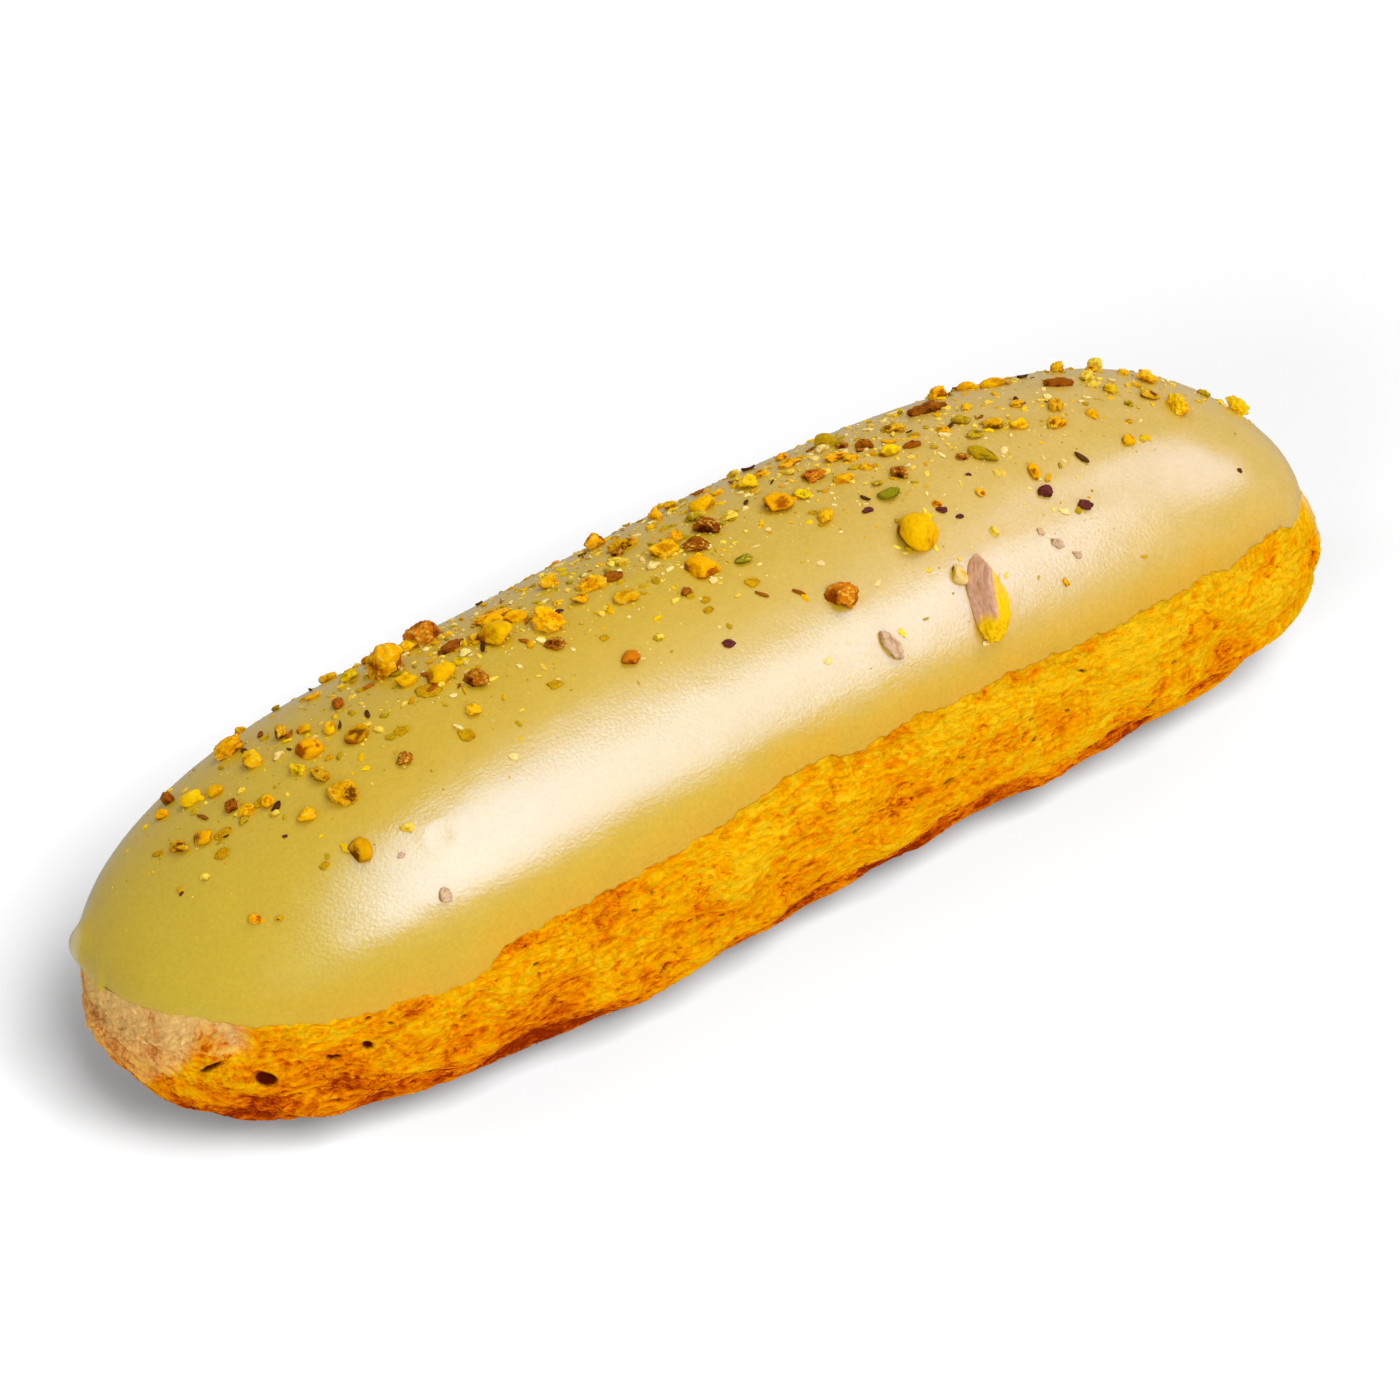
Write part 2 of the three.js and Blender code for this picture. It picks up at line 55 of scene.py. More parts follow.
# Size and form of the body, as in the model: powers that round its section, taper, and bow in plan
LENGTH = 140.0
WIDTH = 42.6
HEIGHT = 35.3
HALF_LENGTH = LENGTH / 2
WIDEST_LEVEL = 14.9
UPPER_POWER = 2.1
LOWER_POWER = 2.35
BASE_PRESS = 1.03
TAPER = 0.079
BOW = 1.07
BOW_MIDDLE = 0.25

# A dip in the far side: x, depth and reach, and how much of its depth goes across and down
FAR_DIP = (-20.0, 1.7, 23.0)
DIP_ACROSS = 0.66
DIP_DOWN = 0.75

# Ends of the body: powers that round them in plan, above and below, and the height of the tip as a share
LEFT_END = {"plan": 3.54, "top": 2.6, "bottom": 6.7, "tip": 0.456}
RIGHT_END = {"plan": 6.73, "top": 3.78, "bottom": 4.23, "tip": 0.335}

# Icing: thickness, how much deeper the choux lies, how far the underside bites into it, and rounded rim
ICING = 1.8
GAP = 0.35
BITE = 0.25
RIM_RADIUS = 2.6

# Height of the icing's edge, the choux's step down to it, and over how much height below and above it
EDGE_LEVEL = 21.2
EDGE_TILT = 0.015
EDGE_BOW = -2.35
EDGE_STEP = 0.5
REACH_BELOW = 5.0
REACH_ABOVE = 6.0

# Scallops of the icing's edge: at, rise, and how quickly they fade before and after
NEAR_SCALLOPS = (
    (-67.5, 1.6, 5, 5),
    (-53.5, -0.8, 5, 4),
    (-42.5, -2.2, 8, 3.2),
    (-3, 1.5, 9, 4),
    (9, 0.8, 5, 4),
    (20, 0.45, 4, 6),
    (39, 0.45, 2, 2),
    (45.5, 0.65, 2.4, 2),
    (55, 0.55, 4, 3),
    (62, -1.2, 3, 5),
)
FAR_SCALLOPS = (
    (-67.5, -8, 5, 4),
    (-55, -0.9, 6, 3),
    (-38, 0.9, 7, 3),
    (-19, -0.8, 4, 8),
    (6, 1.1, 8, 3),
    (25, -0.7, 5, 7),
    (47, 0.9, 6, 4),
)

# Small rags of the edge: height, length and phase
EDGE_RAGS = ((0.12, 5.3, 0.4), (0.1, 2.7, 1.7), (0.09, 1.4, 2.2))
EDGE_SAMPLES = 700

# The drip at the left tip: its middle, how far it bulges, and how wide it is
DRIP_PLACE = (-67.9, 5.2, 19.2)
DRIP_BULGE = 1.0
DRIP_REACH = 2.2

# A small dent in the icing: x, lean, reach, depth, and how wide its hollow and its raised ring are
DENT = (-40.1, 39, 1.6, 0.06)
DENT_HOLLOW = 0.45
DENT_RING = 0.3

# Slow waves of the icing: height, grain along, grain across and seed
ICING_WAVES = ((0.07, 16, 9, 41), (0.03, 6, 4, 42), (0.014, 2.2, 1.6, 43))

# The icing's mesh: steps along, rows across, and how evenly the rows lie rather than close to its edges
ICING_STEPS = 460
ICING_ROWS = 170
EVEN_ROWS = 0.55

# Relief of the choux, as in the model: ridges of the piping nozzle, low waves (depth, length, turns
# round and phase), and one swell (x, lean, rise, reach along and reach round)
RIDGE_COUNT = 17
RIDGE_DEPTH = 0.28
RIDGE_WANDER = 14.0
RIDGE_SWAY = 1.1
CRUST_WAVES = ((0.26, 26, 3, 0.4), (0.2, 17, -5, 2.1), (0.16, 11.5, 7, 4.0), (0.1, 8.3, -9, 1.2))
CRUST_INSET = 0.3
CRUST_SWELL = (-20.0, 125.0, 1.5, 16.0, 0.5)
RELIEF_FADE = 2.5
FOOT_FADE = 9.0
TIP_FADE_FROM = 4.0
TIP_FADE_TO = 17.0
TIP_RELIEF = 0.35

# Finer relief of the crust: depth, grain along, grain across and seed
CRUST_LUMPS = (0.18, 5.5, 3.0, 11)
CRUST_FIBRES = ((0.14, 3.0, 1.1, 12), (0.2, 1.3, 0.5, 13), (0.14, 0.7, 0.34, 14))
FIBRE_MIDDLE = 0.35
FIBRE_FADE = 0.6

# How far the fibres swirl aside, the size of the swirls, and a seed for each axis
SWIRL = 0.9
SWIRL_SIZE = 2.2
SWIRL_SEEDS = (15, 16, 17)

# Holes and slits in the crust: x, lean, half length, half width, depth, turn in degrees; and how thick
# a layer of the surface each one reaches
CRUST_HOLES = (
    (-61.2, 98, 0.8, 0.45, 0.8, 20),
    (-65.1, 94, 0.95, 0.2, 0.6, -35),
    (-55.5, 95, 0.55, 0.2, 0.5, 10),
    (-52.4, 93, 0.45, 0.3, 0.5, 30),
)
HOLE_LAYER = 2.0

# Browned patches of the crust: x, lean, reach along, reach down in degrees, and how much browner; and the
# noise that makes them ragged
BROWNED_PATCHES = (
    (-61.2, 106, 2.2, 14, 0.25),
    (-55.0, 101, 4.0, 5, 0.22),
    (-48.5, 98, 2.0, 5, 0.2),
    (-44.0, 97, 2.2, 5, 0.2),
    (-33.0, 124, 4.0, 7, 0.2),
    (8.0, 93, 4.0, 7, 0.2),
    (37.0, 96, 5.0, 6, 0.12),
    (53.0, 138, 2.5, 6, 0.25),
    (56.0, 73, 1.5, 4, 0.2),
)
PATCH_RAGS = (0.5, 1.6, 1.2, 28)

# Many small slits: seed, count, and ranges of their place, half length, half width, depth and turn
SLIT_SEED = 31
SLIT_COUNT = 130
SLIT_ALONG = (-0.95 * HALF_LENGTH, 0.95 * HALF_LENGTH)
SLIT_LEANS = (76, 164)
SLIT_HALF_LENGTHS = (0.2, 0.65)
SLIT_HALF_WIDTHS = (0.07, 0.12)
SLIT_DEPTHS = (0.25, 0.45)
SLIT_TURNS = (-30, 30)

# The crust's mesh: rings along, rows round each part, and the leans between which it is iced or its base
CHOUX_RINGS = 900
ICED_ROWS = 14
NEAR_ROWS = 180
BASE_ROWS = 16
FAR_ROWS = 110
ICED_LEAN = 1.28
BASE_LEAN = 2.9

# How brown the crust is, from 0 to 1: everywhere, on the far side, along x, in blotches, and how much
# less on ridges and fibres, which is painted light on the raised relief and painted shade in its furrows.
# A row of three is a strength, and from where to where it grows to its full; a row of four is a noise,
# with its strength, grain along, grain across and seed.
BAKE_BASE = 0.25
BAKE_FAR_SIDE = (0.05, 0, 8)
BAKE_ALONG = ((0.13, 4, -24), (-0.08, 0, 25), (0.06, -46, -60))
BAKE_BLOTCHES = ((0.16, 9, 4.5, 21), (0.17, 3.2, 2, 22))
PAINTED_RIDGE_SHADING = 0.16
PAINTED_FIBRE_SHADING = 1.8

# The browned foot: a line that wanders, in patches (grain and seed) and stronger to the right, and a glow
FOOT_WANDER = (1.6, 7, 4, 26)
FOOT_FAINTEST = 0.08
FOOT_PATCHES = (0.32, 0.0, 0.4)
FOOT_PATCH_NOISE = (16, 27)
FOOT_RIGHT = (0.45, -22, -8)
FOOT_LINE = (8.6, 6.6)
FOOT_LINE_WANDER = 0.7
FOOT_GLOW = (0.2, 14, 7)
FOOT_GLOW_WANDER = 2

# Under the icing's edge, by the lift over it and by x: cleaner crust, paler in part as painted light,
# brown spots, and a paler left tip
CLEAN_LIFT = (-5, -1)
CLEAN_ALONG = (-48, -40)
CLEAN_SHARE = 0.6
CLEAN_PALER_PAINTED_LIGHT = 0.08
SPOTS = (0.26, -1.7, -0.4)
SPOT_NOISE = (7, 23)
SPOT_PATCHES = (0.0, 0.45)
SPOTS_FROM = (-60, -50)
SPOTS_FADE = (0.8, -42, -30)
TIP_PALER = (0.2, -2.4, -0.6)
TIP_PALER_ALONG = (-54, -62)

# Ragged pale crust below the icing at both tips: where it grows to its full, in x, y and lift
PALE_RAGS = (0.8, 2.4, 2, 24)
PALE_FIBRE_RAGS = 3.0
PALE_SHARE = 0.85
PALE_FIBRES = 0.9
LEFT_PALE_ALONG = (-61.7, -63.7)
LEFT_PALE_REACH = (1.5, 8.0)
LEFT_PALE_DEEPER = (-65.5, -69)
LEFT_PALE_SOFTNESS = (2.0, 0.5)
LEFT_PALE_RAGS = 1.6
LEFT_PALE_FADE = (0.5, -1.5, -7)
RIGHT_PALE_ALONG = (60, 66)
RIGHT_PALE_DOWN = (-9, -6)
RIGHT_PALE_NEAR = (-13.5, -11.5)
RIGHT_PALE_FAR = (-1, -6)
RIGHT_PALE_SHARE = 0.9

# What the crust's materials read at the left and right tip points, and the depth at which a hole's
# painted shade is full
TIP_BAKE = (0.4, 0.4)
TIP_PALE = (0.6, 0.3)
TIP_HOLLOW = (0.0, 0.0)
HOLE_DARK_AT = 0.14

# The pistachio pieces that stand out, as in the model: x, lean, length, width, height, turn, whether each
# is a smooth kernel, half of a split one, a rough chunk or a flat flake, and its colour family
MAIN_PIECES = (
    (17.7, 25, 3.8, 3.4, 3.0, 27, "kernel", "gold"),
    (20.6, 49, 7.4, 3.1, 2.8, 104, "half", "split"),
    (19.2, 40, 2.0, 1.6, 1.2, 60, "kernel", "cream"),
    (6.9, 32, 3.3, 2.3, 1.8, 16, "chunk", "toast"),
    (9.1, 49, 3.2, 1.5, 0.9, 78, "flake", "mauve"),
    (18.8, 10, 2.2, 1.5, 1.3, 10, "kernel", "green"),
    (9.1, -2, 2.9, 2.3, 1.7, 27, "kernel", "amber"),
    (1.9, -5, 2.8, 1.7, 1.5, 52, "chunk", "rust"),
    (-0.8, -1, 2.5, 1.7, 1.5, 43, "chunk", "rust"),
    (-2.5, 7, 3.2, 2.5, 1.5, 30, "kernel", "amber"),
    (-3.6, -4, 3.0, 1.6, 1.6, 20, "chunk", "gold"),
    (-23.0, -3, 3.0, 2.6, 2.1, 16, "kernel", "gold"),
    (-18.3, 1, 3.2, 2.5, 2.0, 68, "chunk", "gold"),
    (-26.1, -25, 3.4, 3.0, 2.7, 5, "chunk", "toast"),
    (-32.1, -17, 3.8, 3.2, 3.2, -14, "chunk", "amber"),
    (-30.1, -1, 2.8, 2.0, 1.6, 8, "kernel", "gold"),
    (-28.1, 6, 2.3, 1.8, 1.4, 50, "chunk", "brown"),
    (-44.9, 14, 2.8, 2.2, 1.6, 60, "chunk", "umber"),
    (-47.0, 31, 2.2, 2.0, 1.4, 90, "kernel", "umber"),
    (-40.1, 1, 2.2, 1.7, 1.3, 0, "kernel", "umber"),
    (-44.1, -4, 2.6, 1.8, 1.5, 30, "kernel", "amber"),
    (-47.4, -30, 3.0, 2.2, 1.8, 0, "chunk", "amber"),
    (20.4, -22, 2.5, 1.8, 1.5, 70, "kernel", "olive"),
    (30.1, 10, 2.8, 1.4, 1.2, 58, "kernel", "olive"),
    (45.3, -10, 2.9, 1.3, 1.0, 24, "flake", "rust"),
    (31.6, -18, 4.0, 1.5, 1.2, 15, "flake", "rust"),
    (53.9, 12, 2.7, 2.3, 1.9, 80, "chunk", "bright"),
    (63.3, 6, 2.4, 2.0, 1.8, 40, "chunk", "bright"),
    (32.6, 28, 1.5, 1.2, 0.9, 20, "flake", "plum"),
    (35.5, 36, 1.6, 1.1, 0.7, 30, "flake", "plum"),
    (-15.0, 22, 1.7, 1.4, 1.1, 0, "kernel", "toast"),
    (-28.1, -24, 2.2, 1.3, 1.1, 0, "chunk", "gold"),
    (-32.6, -6, 1.9, 1.4, 1.2, 20, "kernel", "gold"),
    (-21.9, -10, 2.2, 1.8, 1.4, 10, "kernel", "gold"),
    (-19.9, -7, 2.2, 1.4, 1.2, 30, "kernel", "gold"),
    (-20.9, -15, 3.0, 2.0, 0.9, 10, "chunk", "amber"),
    (-19.8, 8, 1.8, 1.4, 0.8, 30, "chunk", "brown"),
    (-24.5, -7, 1.6, 1.4, 1.0, 0, "chunk", "umber"),
    (-26.6, -10, 3.0, 1.8, 0.7, 10, "flake", "rust"),
    (-4.9, -17, 2.4, 1.8, 1.3, 20, "chunk", "umber"),
    (-11.8, -5, 2.6, 2.2, 1.0, 70, "chunk", "gold"),
    (-9.6, -4, 2.2, 1.6, 0.7, 20, "flake", "brown"),
    (-10.7, 5, 2.2, 1.6, 1.2, 20, "chunk", "gold"),
    (-14.0, -1, 1.8, 1.2, 1.0, 0, "chunk", "amber"),
    (1.4, 10, 1.7, 1.0, 0.8, 15, "chunk", "green"),
    (18.8, -11, 2.4, 1.4, 0.8, 15, "chunk", "amber"),
    (15.6, -19, 2.2, 1.4, 0.9, 10, "chunk", "amber"),
    (15.0, -7, 2.6, 1.8, 1.1, 10, "chunk", "toast"),
    (16.8, -1, 2.0, 1.2, 0.9, 20, "chunk", "gold"),
    (23.0, -4, 2.0, 1.3, 1.1, 20, "kernel", "lime"),
    (21.4, 5, 1.6, 1.4, 1.1, 60, "chunk", "brown"),
    (25.6, -3, 1.8, 1.0, 0.7, 10, "flake", "brown"),
    (41.0, -23, 2.4, 1.4, 1.0, 20, "kernel", "gold"),
    (49.0, -1, 1.6, 1.2, 1.0, 70, "chunk", "lime"),
    (52.4, 4, 2.2, 1.6, 0.8, 10, "chunk", "umber"),
    (44.9, 21, 1.4, 1.2, 0.9, 0, "kernel", "gold"),
    (39.7, 8, 2.0, 1.4, 1.0, 10, "chunk", "amber"),
    (34.2, 1, 2.0, 1.4, 1.0, 20, "chunk", "umber"),
    (36.2, 4, 2.0, 1.3, 1.0, 10, "chunk", "gold"),
    (33.1, 21, 1.7, 1.0, 0.8, 107, "kernel", "amber"),
    (-45.3, 5, 1.9, 1.3, 1.1, 70, "chunk", "umber"),
    (-53.9, -22, 2.0, 1.5, 1.3, 20, "kernel", "lime"),
    (-56.2, -4, 1.9, 1.6, 0.9, 40, "kernel", "amber"),
    (-48.6, 13, 1.9, 1.3, 1.0, 20, "chunk", "gold"),
    (-38.7, 15, 1.5, 1.2, 0.9, 30, "chunk", "brown"),
)

# Faces of the split kernel's half, as directions in its own length, width and height, and how far out
HALF_FACES = ((0.05, 0.5, 0.85), (0.05, -0.9, 0.45), (-0.75, 0.6, 0.25), (-0.8, -0.55, 0.3), (0.9, 0.2, 0.3))
HALF_REACH = 0.68

# Smaller bits that show on the bare side of the icing: x, lean, length, turn, colour family
LONE_BITS = (
    (-5.8, 30, 1.2, 20, "plum"),
    (15.6, 12, 1.1, 0, "plum"),
    (21.9, 21, 1.1, 30, "plum"),
    (23.0, 25, 0.8, 20, "plum"),
    (27.1, 14, 0.6, 40, "plum"),
    (55.2, 40, 0.7, 30, "plum"),
    (-44.1, 38, 0.7, 0, "mauve"),
    (-60.8, 6, 0.5, 0, "plum"),
    (-51.3, 14, 0.5, 30, "plum"),
    (29.6, 38, 0.9, 50, "mauve"),
    (30.6, 43, 1.4, 60, "mauve"),
    (32.1, 48, 1.1, 20, "mauve"),
    (-42.3, 54, 1.6, 100, "mauve"),
    (29.6, 54, 0.9, 80, "amber"),
    (25.1, 33, 1.2, 80, "lemon"),
    (26.6, 21, 1.1, 60, "amber"),
    (-42.3, 32, 1.2, 40, "lemon"),
    (-11.2, 20, 0.9, 10, "lemon"),
    (-26.6, -4, 1.3, 10, "cream"),
    (-5.8, -1, 1.4, 0, "cream"),
    (-7.4, -8, 1.3, 10, "lemon"),
    (4.7, -6, 1.6, 10, "lemon"),
    (14.0, -14, 1.1, 60, "lemon"),
    (-57.5, 32, 1.3, 40, "amber"),
    (-55.9, 36, 0.7, 20, "umber"),
    (-16.6, -1, 0.9, 20, "plum"),
    (61.0, -1, 1.4, 20, "olive"),
    (48.4, -5, 1.4, 20, "lemon"),
    (49.4, -12, 1.2, 0, "amber"),
    (49.0, 7, 1.0, 20, "olive"),
    (38.7, -4, 1.4, 30, "amber"),
    (34.5, -11, 1.3, 0, "gold"),
    (32.1, -5, 1.7, 20, "olive"),
    (29.6, -4, 1.4, 60, "gold"),
    (31.6, 2, 1.6, 0, "olive"),
    (28.1, 8, 1.2, 40, "brown"),
    (-6.3, -14, 1.4, 0, "rust"),
    (-0.8, -21, 1.0, 0, "gold"),
    (2.5, -13, 1.8, 20, "olive"),
    (7.4, -22, 1.2, 10, "gold"),
    (4.7, -21, 1.2, 50, "gold"),
    (19.3, -19, 1.4, 0, "cream"),
    (20.9, -16, 1.2, 20, "brown"),
    (19.8, -8, 1.6, 10, "gold"),
    (21.4, -10, 0.9, 0, "rust"),
    (19.8, -2, 1.3, 40, "gold"),
    (18.8, 5, 1.1, 10, "olive"),
    (21.9, 19, 1.0, 60, "amber"),
    (-46.2, -10, 1.2, 0, "cream"),
    (-50.6, 6, 0.9, 20, "lemon"),
    (-50.9, -8, 0.8, 0, "lemon"),
    (-58.5, 8, 1.0, 30, "lemon"),
    (-52.8, 1, 1.1, 0, "olive"),
)

# Bits half sunk in the icing, each a thin flake in a soft stain: x, lean, length, turn, strength of stain
SUNK_BITS = (
    (-36.9, 7, 1.5, 0, 0.9),
    (-32.6, 18, 1.7, 60, 1.0),
    (-15.6, 13, 1.0, 0, 0.8),
    (-22.5, 18, 1.5, 10, 0.8),
    (-32.1, 1, 2.4, 20, 0.7),
    (0.3, 17, 1.6, 30, 0.9),
    (-4.7, 16, 1.0, 10, 0.8),
    (-5.2, 19, 1.0, 0, 0.9),
    (10.7, 10, 1.0, 0, 0.9),
    (11.2, 5, 0.9, 0, 0.7),
    (-54.9, 0, 1.6, 10, 0.8),
    (-56.2, 5, 1.5, 0, 1.0),
    (-50.6, 0, 1.6, 10, 0.9),
    (-50.2, 29, 0.9, 0, 0.5),
    (47.0, 14, 0.8, 0, 0.7),
    (27.1, -7, 1.2, 0, 0.7),
)
SUNK_WIDE = 0.75
SUNK_TALL = 0.18

# Widths and heights of the lone bits, as shares of their length, and the colours of those that are flat
LONE_WIDE = 0.7
LONE_TALL = {"flake": 0.35, "chunk": 0.5}
FLAKE_COLOURS = ("plum", "mauve")

# Stains round pieces and over sunk bits: strength, reach as shares of a size, and how steeply they end
STAIN_STRENGTH = 0.85
STAIN_REACH = 0.62
STAIN_STEEPNESS = 3
SUNK_STAIN_LONG = 0.66
SUNK_STAIN_WIDE = 0.5
SUNK_STAIN_STEEPNESS = 5

# The ragged outline of a stain (grain and seed), how thick a layer it reaches, and its reach in half lengths
STAIN_RAGS = 0.25
STAIN_NOISE = (0.5, 61)
STAIN_LAYER = 4
STAIN_NEAR = 3.5

# The smaller pieces follow the model's seeded rule
SCATTER_SEED = 20417
SCATTER_COUNT = 50
SCATTER_FROM = -60.0
SCATTER_TO = 60.0
SCATTER_LEAN = -15.0
SCATTER_SPREAD = 32.0
SMALL_PIECE = 1.3
SMALL_PIECE_RANGE = 1.3
SMALL_WIDE = (0.6, 0.95)
SMALL_TALL = (0.45, 0.75)
CLEARANCE_SHARE = 0.6

# Every piece: how much its rough form is enlarged, how high it sits, and from which length it counts as large
FORM_GROWTH = 1.1
SEAT_SHARE = 0.2
LARGE_FROM = 2.4

# Crumbs too small for the model: sizes, how many lie by a piece and how near, and how the others spread
CRUMB_SEED = 77
CRUMB_COUNT = 3600
CRUMB_SMALLEST = 0.28
CRUMB_LARGEST = 1.3
CRUMB_SEAT = 0.12
HOSTED_SHARE = 0.35
HOSTED_ALONG = 2.2
HOSTED_LEAN = 0.12
CREST_REACH = 64
CRUMB_LEAN = -19
CREST_SPREAD = 0.3
CRUMB_LEAN_LIMIT = 1.1

# Crumbs left out: shares on the far side, and at both ends growing between two places
FAR_FROM = -0.5
FAR_BARE = 0.6
BARE_ENDS = ((0.75, -25, -50), (0.5, 26, 46))
LEFT_COLOURS_ALONG = (-30, -50)

# Skins
SKIN_SEED = 58
SKIN_COUNT = 85
SKIN_REACH = 60
SKIN_LEAN = -17
SKIN_SHORTEST = 0.5
SKIN_LONGEST = 2.0
SKIN_SEAT = 0.35

# Camera: fitted to the photo's outline; azimuths are from -Y towards +X, in degrees
CAMERA_AZIMUTH = -35.4
CAMERA_ELEVATION = 36.0
CAMERA_DISTANCE = 489.9
CAMERA_TARGET = (-1.42, 0.21, 18.1)
CAMERA_LENS = 132.4
CAMERA_SENSOR = 36.0
CAMERA_ROLL = -2.65

# Softboxes that the icing mirrors: tint, direction, distance, and for each its name, turn, place aside,
# size and power
MIRRORED_TINT = (0.40, 0.58, 1.0)
MIRRORED_AZIMUTH = 35
MIRRORED_ELEVATION = 42
MIRRORED_FROM = 1.5
MIRRORED_SOFTBOXES = (
    ("mirrored_softbox", -42, (-0.47, 0.05), (0.7, 1.25), 47),
    ("mirrored_middle_softbox", -42, (0.13, -0.01), (0.5, 0.94), 20),
    ("mirrored_far_softbox", -7, (1.3, 0.22), (1.3, 1.06), 31),
    ("mirrored_near_softbox", -42, (-0.95, 0.45), (0.26, 1.05), 7.3),
    ("mirrored_top_softbox", -42, (-0.56, 0.8), (0.53, 0.26), 5.4),
)

# Softboxes that light everything: name, azimuth, elevation, size and power
LIT_FROM = 1.2
SOFTBOXES = (
    ("overhead_softbox", 100, 60, (0.6, 0.6), 6.8),
    ("front_softbox", -10, 35, (1.0, 0.8), 9.2),
)
STUDIO_STRENGTH = 0.45

# The floor, and softboxes that light it alone: name, azimuth, elevation, size and power
FLOOR_HALF = 2500
FLOOR_GREY = 0.36
FLOOR_LIT_FROM = 3.0
FLOOR_SOFTBOXES = (
    ("floor_key_softbox", -5, 50, 1.4, 870),
    ("floor_left_softbox", -60, 18, 1.2, 420),
    ("floor_right_softbox", 120, 18, 1.0, 69),
    ("floor_back_softbox", -120, 18, 1.0, 190),
)

# Colours, as sRGB shares: of each nut its flesh and its shaded parts, but for dark, which is for skins
NUT_COLOURS = {
    "gold": ((0.98, 0.75, 0.0), (0.84, 0.54, 0.0)),
    "amber": ((0.98, 0.71, 0.0), (0.66, 0.33, 0.0)),
    "bright": ((1.0, 0.82, 0.02), (0.92, 0.62, 0.0)),
    "umber": ((0.87, 0.64, 0.01), (0.46, 0.25, 0.0)),
    "sunk": ((0.81, 0.63, 0.04), (0.68, 0.47, 0.0)),
    "olive": ((0.76, 0.63, 0.06), (0.52, 0.42, 0.03)),
    "green": ((0.56, 0.55, 0.06), (0.26, 0.30, 0.04)),
    "lime": ((0.96, 0.80, 0.03), (0.74, 0.62, 0.02)),
    "toast": ((0.84, 0.50, 0.06), (0.58, 0.25, 0.02)),
    "rust": ((0.62, 0.34, 0.05), (0.28, 0.10, 0.02)),
    "brown": ((0.68, 0.39, 0.05), (0.34, 0.13, 0.01)),
    "plum": ((0.43, 0.20, 0.20), (0.20, 0.07, 0.08)),
    "dark": ((0.34, 0.20, 0.08),),
    "mauve": ((0.88, 0.75, 0.65), (0.66, 0.50, 0.42)),
    "cream": ((0.99, 0.90, 0.60), (0.84, 0.72, 0.30)),
    "lemon": ((0.99, 0.86, 0.32), (0.84, 0.70, 0.08)),
    "split": ((1.0, 0.80, 0.03), (0.94, 0.68, 0.04)),
}
SKIN_PINK = (0.90, 0.71, 0.61)
NUT_SPECKS = (0.88, 0.76, 0.40)
NUT_SHEEN = (1.0, 0.85, 0.4)
KIND_DARKNESS = {"kernel": -0.05, "half": -0.05, "chunk": 0.2, "flake": 0.3}

# Colours of the crust by how brown it is; how much browner its fine grain is, how much painted shade its
# cracks get and how far they stray, in metres; and the colours of its pale patches, from light to brown,
# and the painted shade in its holes
CRUST_STOPS = (
    (0.0, (1.0, 0.78, 0.09)),
    (0.18, (1.0, 0.71, 0.0)),
    (0.38, (1.0, 0.62, 0.0)),
    (0.58, (0.94, 0.50, 0.0)),
    (0.78, (0.82, 0.34, 0.0)),
    (1.0, (0.58, 0.17, 0.0)),
)
SPECKLE = 0.2
CRACK_PAINTED_SHADE = 0.26
CRACK_WARP = 0.0011
PALE_CRUST = (1.0, 0.82, 0.52)
PALE_CRUST_BROWN = (0.86, 0.54, 0.20)
HOLE_PAINTED_SHADE = (0.38, 0.09, 0.0)

# Colours of the icing along it, the right one paler partly as painted sheen; of painted warm bounce light
# by its rim; of its clouds, specks and stains; and of its drip, paler partly as painted reflection
ICING_LEFT = (0.78, 0.668, 0.165)
ICING_MIDDLE = (0.80, 0.66, 0.185)
ICING_RIGHT_AND_SHEEN = (0.82, 0.68, 0.335)
ICING_RIM_BOUNCE_LIGHT = (0.85, 0.64, 0.12)
ICING_CLOUDS = (0.765, 0.63, 0.165)
ICING_SPECKS = (0.965, 0.96, 0.92)
ICING_STAIN = (0.75, 0.60, 0.0)
ICING_DRIP_AND_REFLECTION = (0.80, 0.75, 0.56)

# Where those change: from and to in metres along the icing, with the share at each; in millimetres from
# the rim and along it; and in the drip's own width from its middle
LEFT_FADE = (-0.075, -0.03, 1.0, 0.0)
RIGHT_FADE = (-0.012, 0.034, 0.0, 1.0)
RIM_FADE = (0.3, 5)
RIM_COLOUR_FROM = (-66, -50)
RIM_COLOUR_FADE = (0.75, 46, 62)
DRIP_CLEAR_AND_REFLECTION = 0.85
DRIP_FADE = (0.5, 1.1)

# Looks of the seeded pieces in turn, and colours of the crumbs and skins
SCATTER_LOOKS = (
    ("chunk", "gold"),
    ("chunk", "amber"),
    ("kernel", "gold"),
    ("chunk", "umber"),
    ("chunk", "lemon"),
    ("chunk", "lime"),
    ("chunk", "gold"),
    ("kernel", "amber"),
    ("chunk", "gold"),
    ("flake", "brown"),
)
CRUMB_COLOURS = ("lemon", "cream", "olive", "lemon", "lime", "lemon", "gold", "olive", "cream", "umber")
LEFT_CRUMB_COLOURS = ("olive", "lemon", "umber", "olive", "lime")
SKIN_COLOURS = ("brown", "rust", "dark", "umber", "olive", "dark")


# Repeatable random numbers, smooth steps and noise


